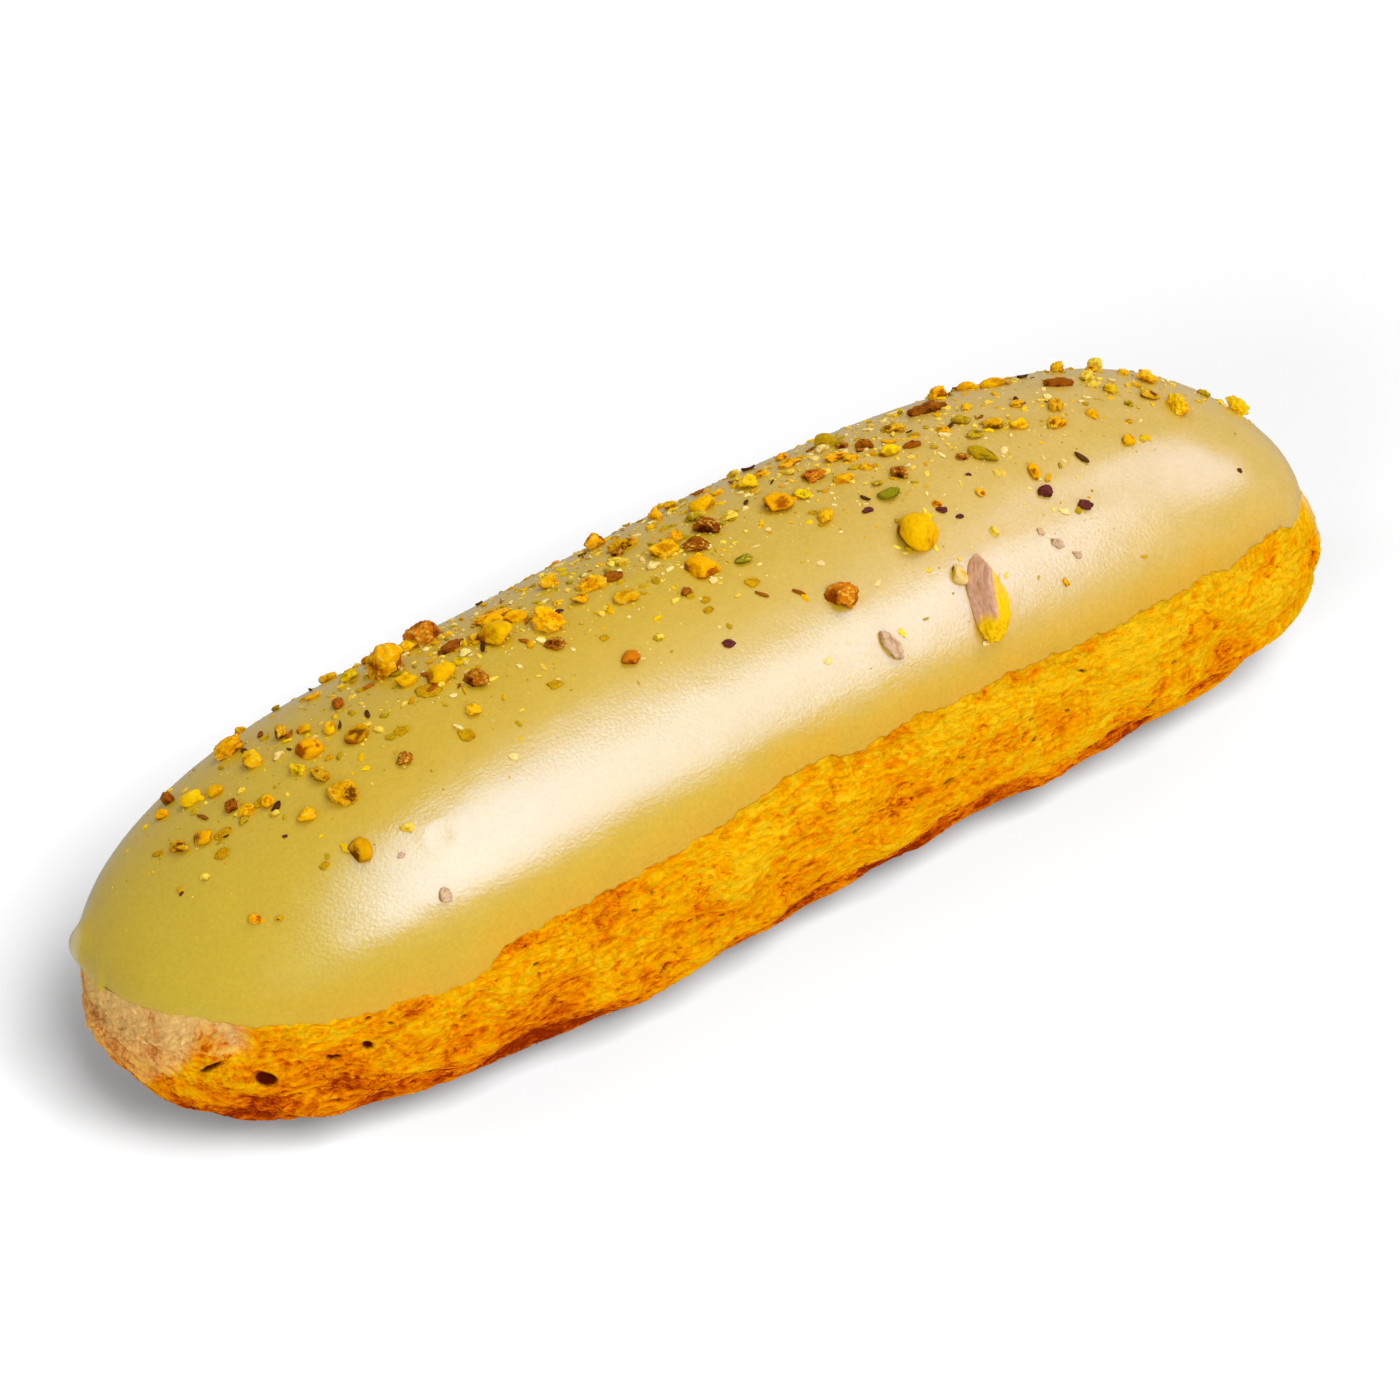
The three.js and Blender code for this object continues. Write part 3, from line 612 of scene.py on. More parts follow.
class Draw:
    """The model's seeded random numbers from 0 to 1."""

    def __init__(self, seed):
        self.state = seed & 0xFFFFFFFF

    def next(self):
        self.state = (self.state + 0x6D2B79F5) & 0xFFFFFFFF
        mixed = (self.state ^ (self.state >> 15)) * (self.state | 1) & 0xFFFFFFFF
        mixed ^= (mixed + ((mixed ^ (mixed >> 7)) * (mixed | 61) & 0xFFFFFFFF)) & 0xFFFFFFFF
        return (mixed ^ (mixed >> 14)) / 4294967296


def smooth(low, high, value):
    """A smooth step from 0 at one value to 1 at another, which may be the lower one."""
    share = np.clip((value - low) / (high - low), 0, 1)
    return share * share * (3 - 2 * share)


def grown(row, value):
    """A strength that grows from nothing where the value is low to its full where it is high."""
    strength, low, high = row
    return strength * smooth(low, high, value)


def between(limits, share):
    """The value at a share of the way between two limits."""
    low, high = limits
    return low + (high - low) * share


def noise(points, grain, seed):
    """Smooth noise from -1 to 1 at points (..., 3); its grain is one size, or one for each axis."""
    scaled = np.asarray(points, float) / np.asarray(grain, float)
    cell = np.floor(scaled).astype(np.int64)
    inside = scaled - cell
    fade = inside ** 3 * (inside * (inside * 6 - 15) + 10)
    total = np.zeros(scaled.shape[:-1])
    for corner in np.ndindex(2, 2, 2):
        place = cell + np.array(corner)
        mixed = place[..., 0] * 374761393 + place[..., 1] * 668265263 + place[..., 2] * 2147483647
        mixed = (mixed + seed * 1274126177) & 0xFFFFFFFF
        mixed = ((mixed ^ (mixed >> 13)) * 1274126177) & 0xFFFFFFFF
        mixed = ((mixed ^ (mixed >> 16)) * 2246822519) & 0xFFFFFFFF
        value = ((mixed ^ (mixed >> 15)) & 0xFFFF) / 32767.5 - 1
        weight = np.ones(scaled.shape[:-1])
        for axis in range(3):
            weight = weight * (fade[..., axis] if corner[axis] else 1 - fade[..., axis])
        total += weight * value
    return total


def layer(points, strength, along, across, seed):
    """Noise of a strength, whose grain has one size along the eclair and another across it."""
    return strength * noise(points, (along, across, across), seed)


# Body form


def section(x):
    """The section's outline at places along the eclair."""
    along = np.clip(np.asarray(x, float) / HALF_LENGTH, -1, 1)
    reach = np.abs(along)
    left = along < 0
    plan, top, bottom, tip = (
        np.where(left, LEFT_END[key], RIGHT_END[key]) for key in ("plan", "top", "bottom", "tip")
    )
    middle = WIDEST_LEVEL + (tip * HEIGHT - WIDEST_LEVEL) * reach ** 4
    return {
        "bow": BOW * (BOW_MIDDLE - 2 * along ** 2),
        "half_width": WIDTH / 2 * np.sqrt(1 - reach ** plan) * (1 - TAPER * along),
        "middle": middle,
        "top": middle + (HEIGHT - middle) * np.sqrt(1 - reach ** top),
        "bottom": middle * (1 - np.sqrt(1 - reach ** bottom)),
    }


def form_points(x, lean):
    """Points of the smooth form; lean is 0 on the crest and grows towards -Y."""
    x, lean = np.broadcast_arrays(np.asarray(x, float), np.asarray(lean, float))
    part = section(x)
    sine, cosine = np.sin(lean), np.cos(lean)
    upper = cosine >= 0
    power = np.where(upper, 2 / UPPER_POWER, 2 / LOWER_POWER)
    across = np.sign(sine) * np.abs(sine) ** power
    rise = np.abs(cosine) ** power
    over = part["middle"] + (part["top"] - part["middle"]) * rise
    under = part["middle"] - (part["middle"] - part["bottom"]) * BASE_PRESS * rise
    at, depth, reach = FAR_DIP
    dip = depth * np.exp(-(((x - at) / reach) ** 2)) * 2 * np.maximum(cosine, 0) * np.maximum(-sine, 0)
    y = part["bow"] - part["half_width"] * across - dip * DIP_ACROSS
    z = np.maximum(np.where(upper, over, under) - dip * DIP_DOWN, 0)
    return np.stack([x, y, z], axis=-1)


def unit(vectors):
    length = np.linalg.norm(vectors, axis=-1, keepdims=True)
    return vectors / np.maximum(length, 1e-12)


def form_normals(x, lean):
    """Outward directions of the smooth form."""
    small = 0.004
    turn = np.arcsin(np.clip(np.asarray(x, float) / HALF_LENGTH, -1, 1))
    turn = np.clip(turn, 2 * small - math.pi / 2, math.pi / 2 - 2 * small)
    ahead = form_points(HALF_LENGTH * np.sin(turn + small), lean)
    behind = form_points(HALF_LENGTH * np.sin(turn - small), lean)
    here = HALF_LENGTH * np.sin(turn)
    down = form_points(here, lean + small) - form_points(here, lean - small)
    return unit(np.cross(down, ahead - behind))


def surface_frame(x, lean, turn):
    """A point of the smooth form, two directions along its surface, and the direction out of it.

    The first direction is turned away from +X towards growing lean, and the second lies across it.
    """
    normal = form_normals(x, lean)
    ahead = unit(form_points(x + 0.1, lean) - form_points(x - 0.1, lean))
    down = unit(form_points(x, lean + 0.01) - form_points(x, lean - 0.01))
    lengthwise = unit(math.cos(turn) * ahead + math.sin(turn) * down)
    return form_points(x, lean), lengthwise, unit(np.cross(normal, lengthwise)), normal


def oval_place(points, x, lean, turn, half_length, half_width):
    """Where points lie by an oval on the form: square of the way out, 1 on its outline, and height."""
    centre, lengthwise, crosswise, normal = surface_frame(x, lean, turn)
    offset = points - centre
    out = ((offset @ lengthwise) / half_length) ** 2 + ((offset @ crosswise) / half_width) ** 2
    return out, offset @ normal


# The icing's edge


def scallops(table, x):
    rise = np.zeros_like(x)
    for at, height, before, after in table:
        width = np.where(x < at, before, after)
        rise += height * np.exp(-(((x - at) / width) ** 2))
    return rise


def edge_height(x, side):
    """Height of the edge; side runs from 0 on the far side to 1 on the near side."""
    x = np.asarray(x, float)
    along = x / HALF_LENGTH
    near = side + (1 - side) * along ** 10
    waves = scallops(NEAR_SCALLOPS, x) * near + scallops(FAR_SCALLOPS, x) * (1 - near)
    for height, length, phase in EDGE_RAGS:
        waves = waves + height * np.sin(2 * math.pi * x / length + phase + 2 * near) * (1 - along ** 10)
    return EDGE_LEVEL + EDGE_TILT * x + EDGE_BOW * along ** 2 + waves


def edge_lean(x, side):
    """The lean at which the edge runs on a side."""
    part = section(x)
    share = (edge_height(x, side) - part["middle"]) / (part["top"] - part["middle"])
    return np.arccos(np.clip(share, 0, 1) ** (UPPER_POWER / 2))


def lift_over_edge(x, lean):
    """How far points of the form lie above the icing's edge."""
    side = smooth(-0.5, 0.5, np.sin(lean))
    return form_points(x, lean)[..., 2] - edge_height(x, side)


def icing_tip(sign):
    """How far the icing goes towards an end: where the crest comes down to the edge."""
    inside, outside = 0.0, sign * HALF_LENGTH
    for _ in range(50):
        x = (inside + outside) / 2
        if section(x)["top"] > edge_height(x, 0.5):
            inside = x
        else:
            outside = x
    return inside


ICING_FROM = icing_tip(-1)
ICING_TO = icing_tip(1)


def icing_along(share):
    """Places along the icing, closer together towards its ends."""
    middle = (ICING_FROM + ICING_TO) / 2
    return middle + (ICING_TO - ICING_FROM) / 2 * np.sin(math.pi * (share - 0.5))


def edge_tree():
    """The edge's points, to look up how near the rim a place is."""
    x = icing_along(np.linspace(0, 1, EDGE_SAMPLES))
    points = np.concatenate([form_points(x, edge_lean(x, 1)), form_points(x, -edge_lean(x, 0))])
    tree = KDTree(len(points))
    for index, point in enumerate(points):
        tree.insert(point, index)
    tree.balance()
    return tree


def distance_to_edge(points):
    tree = edge_tree()
    flat = points.reshape(-1, 3)
    return np.array([tree.find(point)[2] for point in flat]).reshape(points.shape[:-1])


def choux_depth(lift):
    """How deep the choux lies under the smooth form: it steps down at the icing's edge."""
    step = EDGE_STEP * smooth(-REACH_BELOW, 0, lift)
    return step + (ICING + GAP - EDGE_STEP) * smooth(0, REACH_ABOVE, lift)


# Meshes


def new_mesh(name, points, faces, material, smooth_shaded=True):
    """A mesh object from points in millimetres and lists of faces."""
    mesh = bpy.data.meshes.new(name)
    mesh.from_pydata((np.asarray(points) * MM).tolist(), [], faces)
    mesh.validate()
    mesh.polygons.foreach_set("use_smooth", [smooth_shaded] * len(mesh.polygons))
    mesh.materials.append(material)
    mesh.update()
    piece = bpy.data.objects.new(name, mesh)
    bpy.context.scene.collection.objects.link(piece)
    return piece


def add_values(piece, name, values):
    """A number for each point, for the material to read."""
    attribute = piece.data.attributes.new(name, "FLOAT", "POINT")
    attribute.data.foreach_set("value", np.asarray(values, np.float32).ravel())


def add_colours(piece, name, colours):
    """A colour for each point, for the material to read."""
    colours = np.asarray(colours, np.float32)
    full = np.concatenate([colours, np.ones((len(colours), 1), np.float32)], axis=1)
    attribute = piece.data.color_attributes.new(name, "FLOAT_COLOR", "POINT")
    attribute.data.foreach_set("color", full.ravel())


def ring_faces(rings, around):
    """Quads between rings of points, closed round, and a fan at each end to the two points after them."""
    index = np.arange(rings * around).reshape(rings, around)
    turned = np.roll(index, -1, axis=1)
    quads = np.stack([index[:-1], turned[:-1], turned[1:], index[1:]], axis=-1)
    tip = rings * around
    left_fan = [[tip, after, before] for before, after in zip(index[0].tolist(), turned[0].tolist())]
    right_fan = [[tip + 1, before, after] for before, after in zip(index[-1].tolist(), turned[-1].tolist())]
    return quads.reshape(-1, 4).tolist() + left_fan + right_fan


def linear(colour):
    """Linear light from sRGB shares."""
    colour = np.asarray(colour, float)
    return np.where(colour <= 0.04045, colour / 12.92, ((colour + 0.055) / 1.055) ** 2.4)


# Materials


def shader(name):
    """A new material with its nodes and main shader."""
    material = bpy.data.materials.new(name)
    material.use_nodes = True
    tree = material.node_tree
    return material, tree, tree.nodes["Principled BSDF"]


def set_surface(tree, main, colour, normal, roughness, shine):
    """A shader's colour and surface, and two numbers that are the same all over."""
    tree.links.new(colour, main.inputs["Base Color"])
    tree.links.new(normal, main.inputs["Normal"])
    main.inputs["Roughness"].default_value = roughness
    main.inputs["Specular IOR Level"].default_value = shine


def node(tree, kind, inputs=None, **settings):
    made = tree.nodes.new(kind)
    for key, value in settings.items():
        setattr(made, key, value)
    for key, value in (inputs or {}).items():
        if isinstance(value, bpy.types.NodeSocket):
            tree.links.new(value, made.inputs[key])
        else:
            made.inputs[key].default_value = value
    return made


def object_place(tree, scale):
    """Object coordinates, stretched by a scale for each axis."""
    place = node(tree, "ShaderNodeTexCoord").outputs["Object"]
    return node(tree, "ShaderNodeMapping", {"Vector": place, "Scale": scale}).outputs["Vector"]


def noise_value(tree, scale, detail=4.0, roughness=0.6, stretch=(1, 1, 1), swirl=0.0):
    inputs = {"Vector": object_place(tree, stretch), "Scale": scale, "Detail": detail}
    inputs.update({"Roughness": roughness, "Distortion": swirl})
    return node(tree, "ShaderNodeTexNoise", inputs).outputs["Fac"]


def spread(tree, value, low, high, to_low=0.0, to_high=1.0):
    """A value's range mapped smoothly onto another."""
    inputs = {"Value": value, "From Min": low, "From Max": high, "To Min": to_low, "To Max": to_high}
    return node(tree, "ShaderNodeMapRange", inputs, interpolation_type="SMOOTHSTEP").outputs["Result"]


def mixed(tree, share, first, second, blend="MIX"):
    made = tree.nodes.new("ShaderNodeMix")
    made.data_type = "RGBA"
    made.blend_type = blend
    sockets = {"Factor": made.inputs[0], "A": made.inputs[6], "B": made.inputs[7]}
    for key, value in (("Factor", share), ("A", first), ("B", second)):
        if isinstance(value, bpy.types.NodeSocket):
            tree.links.new(value, sockets[key])
        else:
            sockets[key].default_value = value
    return made.outputs[2]


def paint(*shares):
    """An sRGB colour as a linear one with full alpha."""
    return (*linear(shares), 1.0)


def value_of(tree, name):
    return node(tree, "ShaderNodeAttribute", attribute_name=name).outputs["Fac"]


def maths(tree, operation, *values):
    return node(tree, "ShaderNodeMath", dict(enumerate(values)), operation=operation).outputs["Value"]


def colour_ramp(tree, value, stops):
    """Colours by a value, from stops in order, of which the first is at 0 and the last at 1."""
    ramp = node(tree, "ShaderNodeValToRGB", {"Fac": value})
    for position, _ in stops[1:-1]:
        ramp.color_ramp.elements.new(position)
    for element, (_, colour) in zip(ramp.color_ramp.elements, stops):
        element.color = paint(*colour)
    return ramp.outputs["Color"]


def bump(tree, height, strength, distance, normal=None):
    inputs = {"Height": height, "Strength": strength, "Distance": distance}
    if normal is not None:
        inputs["Normal"] = normal
    return node(tree, "ShaderNodeBump", inputs).outputs["Normal"]


def crack_share(tree):
    """Short fine cracks, in patches: 1 in a crack and 0 beside it."""
    place = object_place(tree, (0.6, 1, 1))
    warp = node(tree, "ShaderNodeTexNoise", {"Vector": place, "Scale": 1200, "Detail": 3}).outputs["Color"]
    inputs = {0: warp, 1: (CRACK_WARP,) * 3, 2: place}
    warped = node(tree, "ShaderNodeVectorMath", inputs, operation="MULTIPLY_ADD").outputs["Vector"]
    inputs = {"Vector": warped, "Scale": 980}
    gap = node(tree, "ShaderNodeTexVoronoi", inputs, feature="DISTANCE_TO_EDGE").outputs["Distance"]
    line = spread(tree, gap, 0.01, 0.09, 1.0, 0.0)
    patch = spread(tree, noise_value(tree, 420, detail=3, roughness=0.6), 0.49, 0.62)
    return maths(tree, "MULTIPLY", line, patch)


def choux_material():
    """Golden crust: browner at its foot, pale at its tips, painted shade in its furrows, cracks and holes."""
    material, tree, main = shader("choux_crust")
    strands = noise_value(tree, 1500, detail=5, roughness=0.7, stretch=(0.5, 1, 1), swirl=1.2)
    grain = noise_value(tree, 3600, detail=4, roughness=0.7, stretch=(0.6, 1, 1), swirl=0.8)
    cracks = crack_share(tree)
    bake = maths(tree, "ADD", value_of(tree, "bake"), spread(tree, strands, 0.3, 0.7, -SPECKLE, SPECKLE))
    # Browner in the cracks: painted shade in the grooves
    bake = maths(tree, "MULTIPLY_ADD", cracks, CRACK_PAINTED_SHADE, bake)
    beige = mixed(tree, spread(tree, bake, 0.2, 0.95), paint(*PALE_CRUST), paint(*PALE_CRUST_BROWN))
    pale = mixed(tree, value_of(tree, "pale"), colour_ramp(tree, bake, CRUST_STOPS), beige)
    # Dark brown in the holes, the more the deeper: painted shade
    hollow = mixed(tree, value_of(tree, "hollow"), pale, paint(*HOLE_PAINTED_SHADE))
    normal = bump(tree, strands, strength=1.0, distance=0.0005)
    normal = bump(tree, cracks, strength=-0.8, distance=0.00015, normal=normal)
    normal = bump(tree, grain, strength=0.8, distance=0.00015, normal=normal)
    set_surface(tree, main, hollow, normal, roughness=0.7, shine=0.0)
    return material


def icing_material():
    """Satin pistachio icing: green-gold, more olive at the left, soft stains, painted sheen and bounce light.
    """
    material, tree, main = shader("icing")
    x = node(tree, "ShaderNodeSeparateXYZ", {"Vector": object_place(tree, (1, 1, 1))}).outputs["X"]
    clouds = spread(tree, noise_value(tree, 260, detail=5, roughness=0.65), 0.35, 0.65, 0.0, 0.35)
    specks = spread(tree, noise_value(tree, 2600, detail=3, roughness=0.7), 0.35, 0.65)
    colour = paint(*ICING_MIDDLE)
    for share, over, blend in (
        (spread(tree, x, *LEFT_FADE), ICING_LEFT, "MIX"),
        # Paler towards the right: partly the icing's paler tone, partly painted sheen
        (spread(tree, x, *RIGHT_FADE), ICING_RIGHT_AND_SHEEN, "MIX"),
        # Warmer by the rim: painted warm bounce light
        (value_of(tree, "rim"), ICING_RIM_BOUNCE_LIGHT, "MIX"),
        (clouds, ICING_CLOUDS, "MIX"),
        (specks, ICING_SPECKS, "MULTIPLY"),
        (value_of(tree, "stain"), ICING_STAIN, "MIX"),
        # Paler on the drip: clearer icing, and painted reflection
        (value_of(tree, "drip"), ICING_DRIP_AND_REFLECTION, "MIX"),
    ):
        colour = mixed(tree, share, colour, paint(*over), blend)
    grain = noise_value(tree, 3000, detail=3, roughness=0.6)
    normal = bump(tree, grain, strength=0.28, distance=0.0001)
    set_surface(tree, main, colour, normal, roughness=0.21, shine=0.5)
    return material


def nut_material(name, roughness, grain_scale, grain_depth):
    """Chopped nut: its colours, with painted shade and glints, on a crumbly, faintly waxy surface."""
    material, tree, main = shader(name)
    # Each point's colour, with its painted shade and glints
    own = node(tree, "ShaderNodeAttribute", attribute_name="tint").outputs["Color"]
    speckle = spread(tree, noise_value(tree, grain_scale, detail=4, roughness=0.7), 0.3, 0.7, 0.0, 0.55)
    dark = mixed(tree, 1.0, own, paint(*NUT_SPECKS), "MULTIPLY")
    grain = noise_value(tree, grain_scale * 1.6, detail=4, roughness=0.7)
    normal = bump(tree, grain, strength=0.9, distance=grain_depth)
    set_surface(tree, main, mixed(tree, speckle, own, dark), normal, roughness, shine=0.03)
    main.inputs["Specular Tint"].default_value = paint(*NUT_SHEEN)
    return material


# Choux bun


def crust_relief(x, lean, points):
    """Height of the crust's broad relief over the smooth form."""
    wander = RIDGE_SWAY * np.sin(x / RIDGE_WANDER)
    height = RIDGE_DEPTH * np.cos(RIDGE_COUNT * lean + wander)
    for depth, length, turns, phase in CRUST_WAVES:
        height = height + depth * np.sin(2 * math.pi * x / length + turns * lean + phase)
    height = height + layer(points, *CRUST_LUMPS) - CRUST_INSET
    at, down, rise, reach, turn = CRUST_SWELL
    away = ((x - at) / reach) ** 2 + ((lean - math.radians(down)) / turn) ** 2
    return height + rise * np.exp(-away)


def fibre_relief(points):
    """Height of the fine swirled fibres that the crust is made of."""
    aside = np.stack([noise(points, SWIRL_SIZE, seed) for seed in SWIRL_SEEDS], axis=-1)
    swirled = points + SWIRL * aside
    height = np.zeros(len(points))
    for depth, along, across, seed in CRUST_FIBRES:
        height += depth * (FIBRE_MIDDLE - np.abs(layer(swirled, 1, along, across, seed)))
    return height


def holes():
    """The named holes and many small slits along the crust."""
    draw = Draw(SLIT_SEED)
    found = list(CRUST_HOLES)
    for _ in range(SLIT_COUNT):
        x, lean = between(SLIT_ALONG, draw.next()), between(SLIT_LEANS, draw.next())
        side = -1 if draw.next() < 0.5 else 1
        half_length = between(SLIT_HALF_LENGTHS, draw.next() ** 2)
        rest = [between(limits, draw.next()) for limits in (SLIT_HALF_WIDTHS, SLIT_DEPTHS, SLIT_TURNS)]
        found.append((x, side * lean, half_length, *rest))
    return found


def hole_depth(points):
    """How deep the holes and slits go at each point."""
    depth = np.zeros(points.shape[:-1])
    for x, lean, half_length, half_width, deep, turn in holes():
        near = np.abs(points[:, 0] - x) < half_length + half_width + 1
        place = (x, math.radians(lean), math.radians(turn), half_length, half_width)
        out, height = oval_place(points[near], *place)
        hole = deep * np.exp(-(out ** 1.5)) * (np.abs(height) < HOLE_LAYER)
        depth[near] = np.maximum(depth[near], hole)
    return depth


def make_choux(material):
    """The crust as one closed mesh; its browning, pale patches and painted shade in holes are values."""
    leans = choux_leans()
    x = HALF_LENGTH * np.sin(np.linspace(-math.pi / 2, math.pi / 2, CHOUX_RINGS + 2)[1:-1])
    x, lean = (part.ravel() for part in np.meshgrid(x, leans, indexing="ij"))
    points = form_points(x, lean)
    lift = lift_over_edge(x, lean)
    broad = crust_relief(x, lean, points)
    fibres = fibre_relief(points)
    off_foot = smooth(0, FOOT_FADE, points[:, 2])
    off_tip = smooth(TIP_FADE_FROM, TIP_FADE_TO, section(x)["half_width"])
    below_icing = 1 - smooth(-0.5 * RELIEF_FADE, 1, lift)
    hollow = hole_depth(points) * below_icing
    relief = broad * between((TIP_RELIEF, 1), off_tip) * off_foot
    relief = (relief + fibres * smooth(0, FIBRE_FADE, points[:, 2])) * below_icing
    surface = points + form_normals(x, lean) * (relief - choux_depth(lift) - hollow)[:, None]
    surface[:, 2] = np.where(off_foot == 0, 0, np.maximum(surface[:, 2], 0))
    tips = np.array([form_points(sign * HALF_LENGTH, math.pi / 2) for sign in (-1, 1)])
    faces = ring_faces(CHOUX_RINGS, len(leans))
    piece = new_mesh("choux_crust", np.concatenate([surface, tips]), faces, material)
    bake = bake_share(points, lift, broad, fibres) + browned(x, lean, points)
    add_values(piece, "bake", np.append(np.clip(bake, 0, 1), TIP_BAKE))
    add_values(piece, "pale", np.append(pale_share(points, lift, fibres), TIP_PALE))
    # How much painted shade each hole gets, by its depth
    add_values(piece, "hollow", np.append(np.clip(hollow / HOLE_DARK_AT, 0, 1), TIP_HOLLOW))
    return piece


def choux_leans():
    """Leans round a section: dense where the crust shows, sparse under the icing and on the base."""
    corners = (-ICED_LEAN, ICED_LEAN, BASE_LEAN, 2 * math.pi - BASE_LEAN, 2 * math.pi - ICED_LEAN)
    rows = (ICED_ROWS, NEAR_ROWS, BASE_ROWS, FAR_ROWS)
    stretches = zip(corners[:-1], corners[1:], rows)
    return np.concatenate([np.linspace(low, high, count + 1)[:-1] for low, high, count in stretches])


def bake_share(points, lift, broad, fibres):
    """Crust browning: most at its foot and in spots under the icing's edge; painted shade in its furrows."""
    x, y, _ = points.T
    blotches = sum(layer(points, *row) for row in BAKE_BLOTCHES)
    clean = smooth(*CLEAN_LIFT, lift) * smooth(*CLEAN_ALONG, x)
    # Fewer blotches and a paler crust just under the icing's edge, partly painted light where its rim shades
    # it
    blotches = blotches * (1 - CLEAN_SHARE * clean) - CLEAN_PALER_PAINTED_LIGHT * clean
    spots = grown(SPOTS, lift) * smooth(*SPOT_PATCHES, noise(points, *SPOT_NOISE))
    spots = spots * smooth(*SPOTS_FROM, x) * (1 - grown(SPOTS_FADE, x))
    spots = spots - grown(TIP_PALER, lift) * smooth(*TIP_PALER_ALONG, x)
    bake = BAKE_BASE + grown(BAKE_FAR_SIDE, y) + sum(grown(row, x) for row in BAKE_ALONG)
    bake = bake + foot_bake(points) + blotches + spots
    # Paler on raised ridges and fibres, browner in furrows: painted light and shade of the relief
    return bake - PAINTED_RIDGE_SHADING * (broad + CRUST_INSET) - PAINTED_FIBRE_SHADING * fibres


def foot_bake(points):
    """How much browner the crust's foot is: a wandering line low on it, and a glow."""
    x, _, z = points.T
    wander = layer(points, *FOOT_WANDER)
    patches = noise(points, *FOOT_PATCH_NOISE) + grown(FOOT_RIGHT, x)
    line = (FOOT_FAINTEST + grown(FOOT_PATCHES, patches)) * smooth(*FOOT_LINE, z + FOOT_LINE_WANDER * wander)
    return line + grown(FOOT_GLOW, z + FOOT_GLOW_WANDER * wander)


def browned(x, lean, points):
    """How much browner the crust is in its named patches."""
    share = np.zeros(len(x))
    ragged = 1 + layer(points, *PATCH_RAGS)
    for at, down, along, down_by, strength in BROWNED_PATCHES:
        away = ((x - at) / along) ** 2 + ((np.degrees(lean) - down) / down_by) ** 2
        share += strength * np.exp(-away * ragged)
    return share


def pale_share(points, lift, fibres):
    """How pale the crust is at its tips, in ragged patches below the icing."""
    x, y, _ = points.T
    ragged = layer(points, *PALE_RAGS) + PALE_FIBRE_RAGS * fibres
    reach = between(LEFT_PALE_REACH, smooth(*LEFT_PALE_DEEPER, x))
    below, above = LEFT_PALE_SOFTNESS
    left = smooth(*LEFT_PALE_ALONG, x) * smooth(-reach - below, above - reach, lift + LEFT_PALE_RAGS * ragged)
    left = left * (1 - grown(LEFT_PALE_FADE, lift))
    right = smooth(*RIGHT_PALE_ALONG, x) * smooth(*RIGHT_PALE_DOWN, lift + ragged)
    right = right * smooth(*RIGHT_PALE_NEAR, y) * smooth(*RIGHT_PALE_FAR, y + ragged)
    return np.maximum(left, RIGHT_PALE_SHARE * right) * (PALE_SHARE - PALE_FIBRES * fibres)


# Icing


def drip_distance(points):
    """How far points lie from the middle of the drip, in its own width."""
    return np.linalg.norm(points - np.array(DRIP_PLACE), axis=-1) / DRIP_REACH


def icing_surface(points):
    """Depth of the icing's outer face under the smooth form away from its rim: drip, waves and dent."""
    x, lean, reach, deep = DENT
    away = np.linalg.norm(points - form_points(x, math.radians(lean)), axis=-1) / reach
    ripple = deep * (np.exp(-((away / DENT_HOLLOW) ** 2)) - 0.5 * np.exp(-(((away - 1) / DENT_RING) ** 2)))
    bulge = DRIP_BULGE * np.exp(-drip_distance(points) ** 2)
    return ripple - bulge - sum(layer(points, *row) for row in ICING_WAVES)


def icing_points(x, lean, outer):
    """Points of the icing's outer face, rounded down to its rim, or of its underside."""
    points = form_points(x, lean)
    depth = choux_depth(np.maximum(lift_over_edge(x, lean), 0)) + BITE
    if outer:
        short = 1 - np.minimum(distance_to_edge(points) / RIM_RADIUS, 1)
        rounding = np.sqrt(1 - short * short)
        depth = depth * (1 - rounding) + icing_surface(points) * rounding
    return points - form_normals(x, lean) * depth[..., None]


def make_icing(material, pieces):
    """The icing as one closed mesh, with its rim's painted bounce light, stains and paler drip as values."""
    x = icing_along(np.linspace(0, 1, ICING_STEPS + 1))
    near, far = edge_lean(x, 1), -edge_lean(x, 0)
    even = np.linspace(0, 1, ICING_ROWS + 1)
    share = EVEN_ROWS * even + (1 - EVEN_ROWS) * (1 - np.cos(math.pi * even)) / 2
    lean = far[:, None] + (near - far)[:, None] * share[None, :]
    x = np.broadcast_to(x[:, None], lean.shape)
    index = np.arange(lean.size).reshape(lean.shape)
    under = index + index.size
    under[:, 0], under[:, -1] = index[:, 0], index[:, -1]
    under[0], under[-1] = index[0], index[-1]
    faces = []
    for grid, flip in ((index, False), (under, True)):
        quads = np.stack([grid[:-1, :-1], grid[:-1, 1:], grid[1:, 1:], grid[1:, :-1]], axis=-1).reshape(-1, 4)
        faces += (quads[:, ::-1] if flip else quads).tolist()
    points = np.concatenate([icing_points(x, lean, outer).reshape(-1, 3) for outer in (True, False)])
    piece = new_mesh("icing", points, faces, material)
    tidy_mesh(piece)
    points = np.array([vertex.co for vertex in piece.data.vertices]) / MM
    # Where the rim gets its painted warm bounce light
    warm = smooth(*RIM_COLOUR_FROM, points[:, 0]) * (1 - grown(RIM_COLOUR_FADE, points[:, 0]))
    add_values(piece, "rim", (1 - smooth(*RIM_FADE, distance_to_edge(points))) * warm)
    add_values(piece, "stain", stains(points, pieces))
    # Paler over the drip: clearer icing, and painted reflection
    add_values(piece, "drip", DRIP_CLEAR_AND_REFLECTION * (1 - smooth(*DRIP_FADE, drip_distance(points))))
    return piece


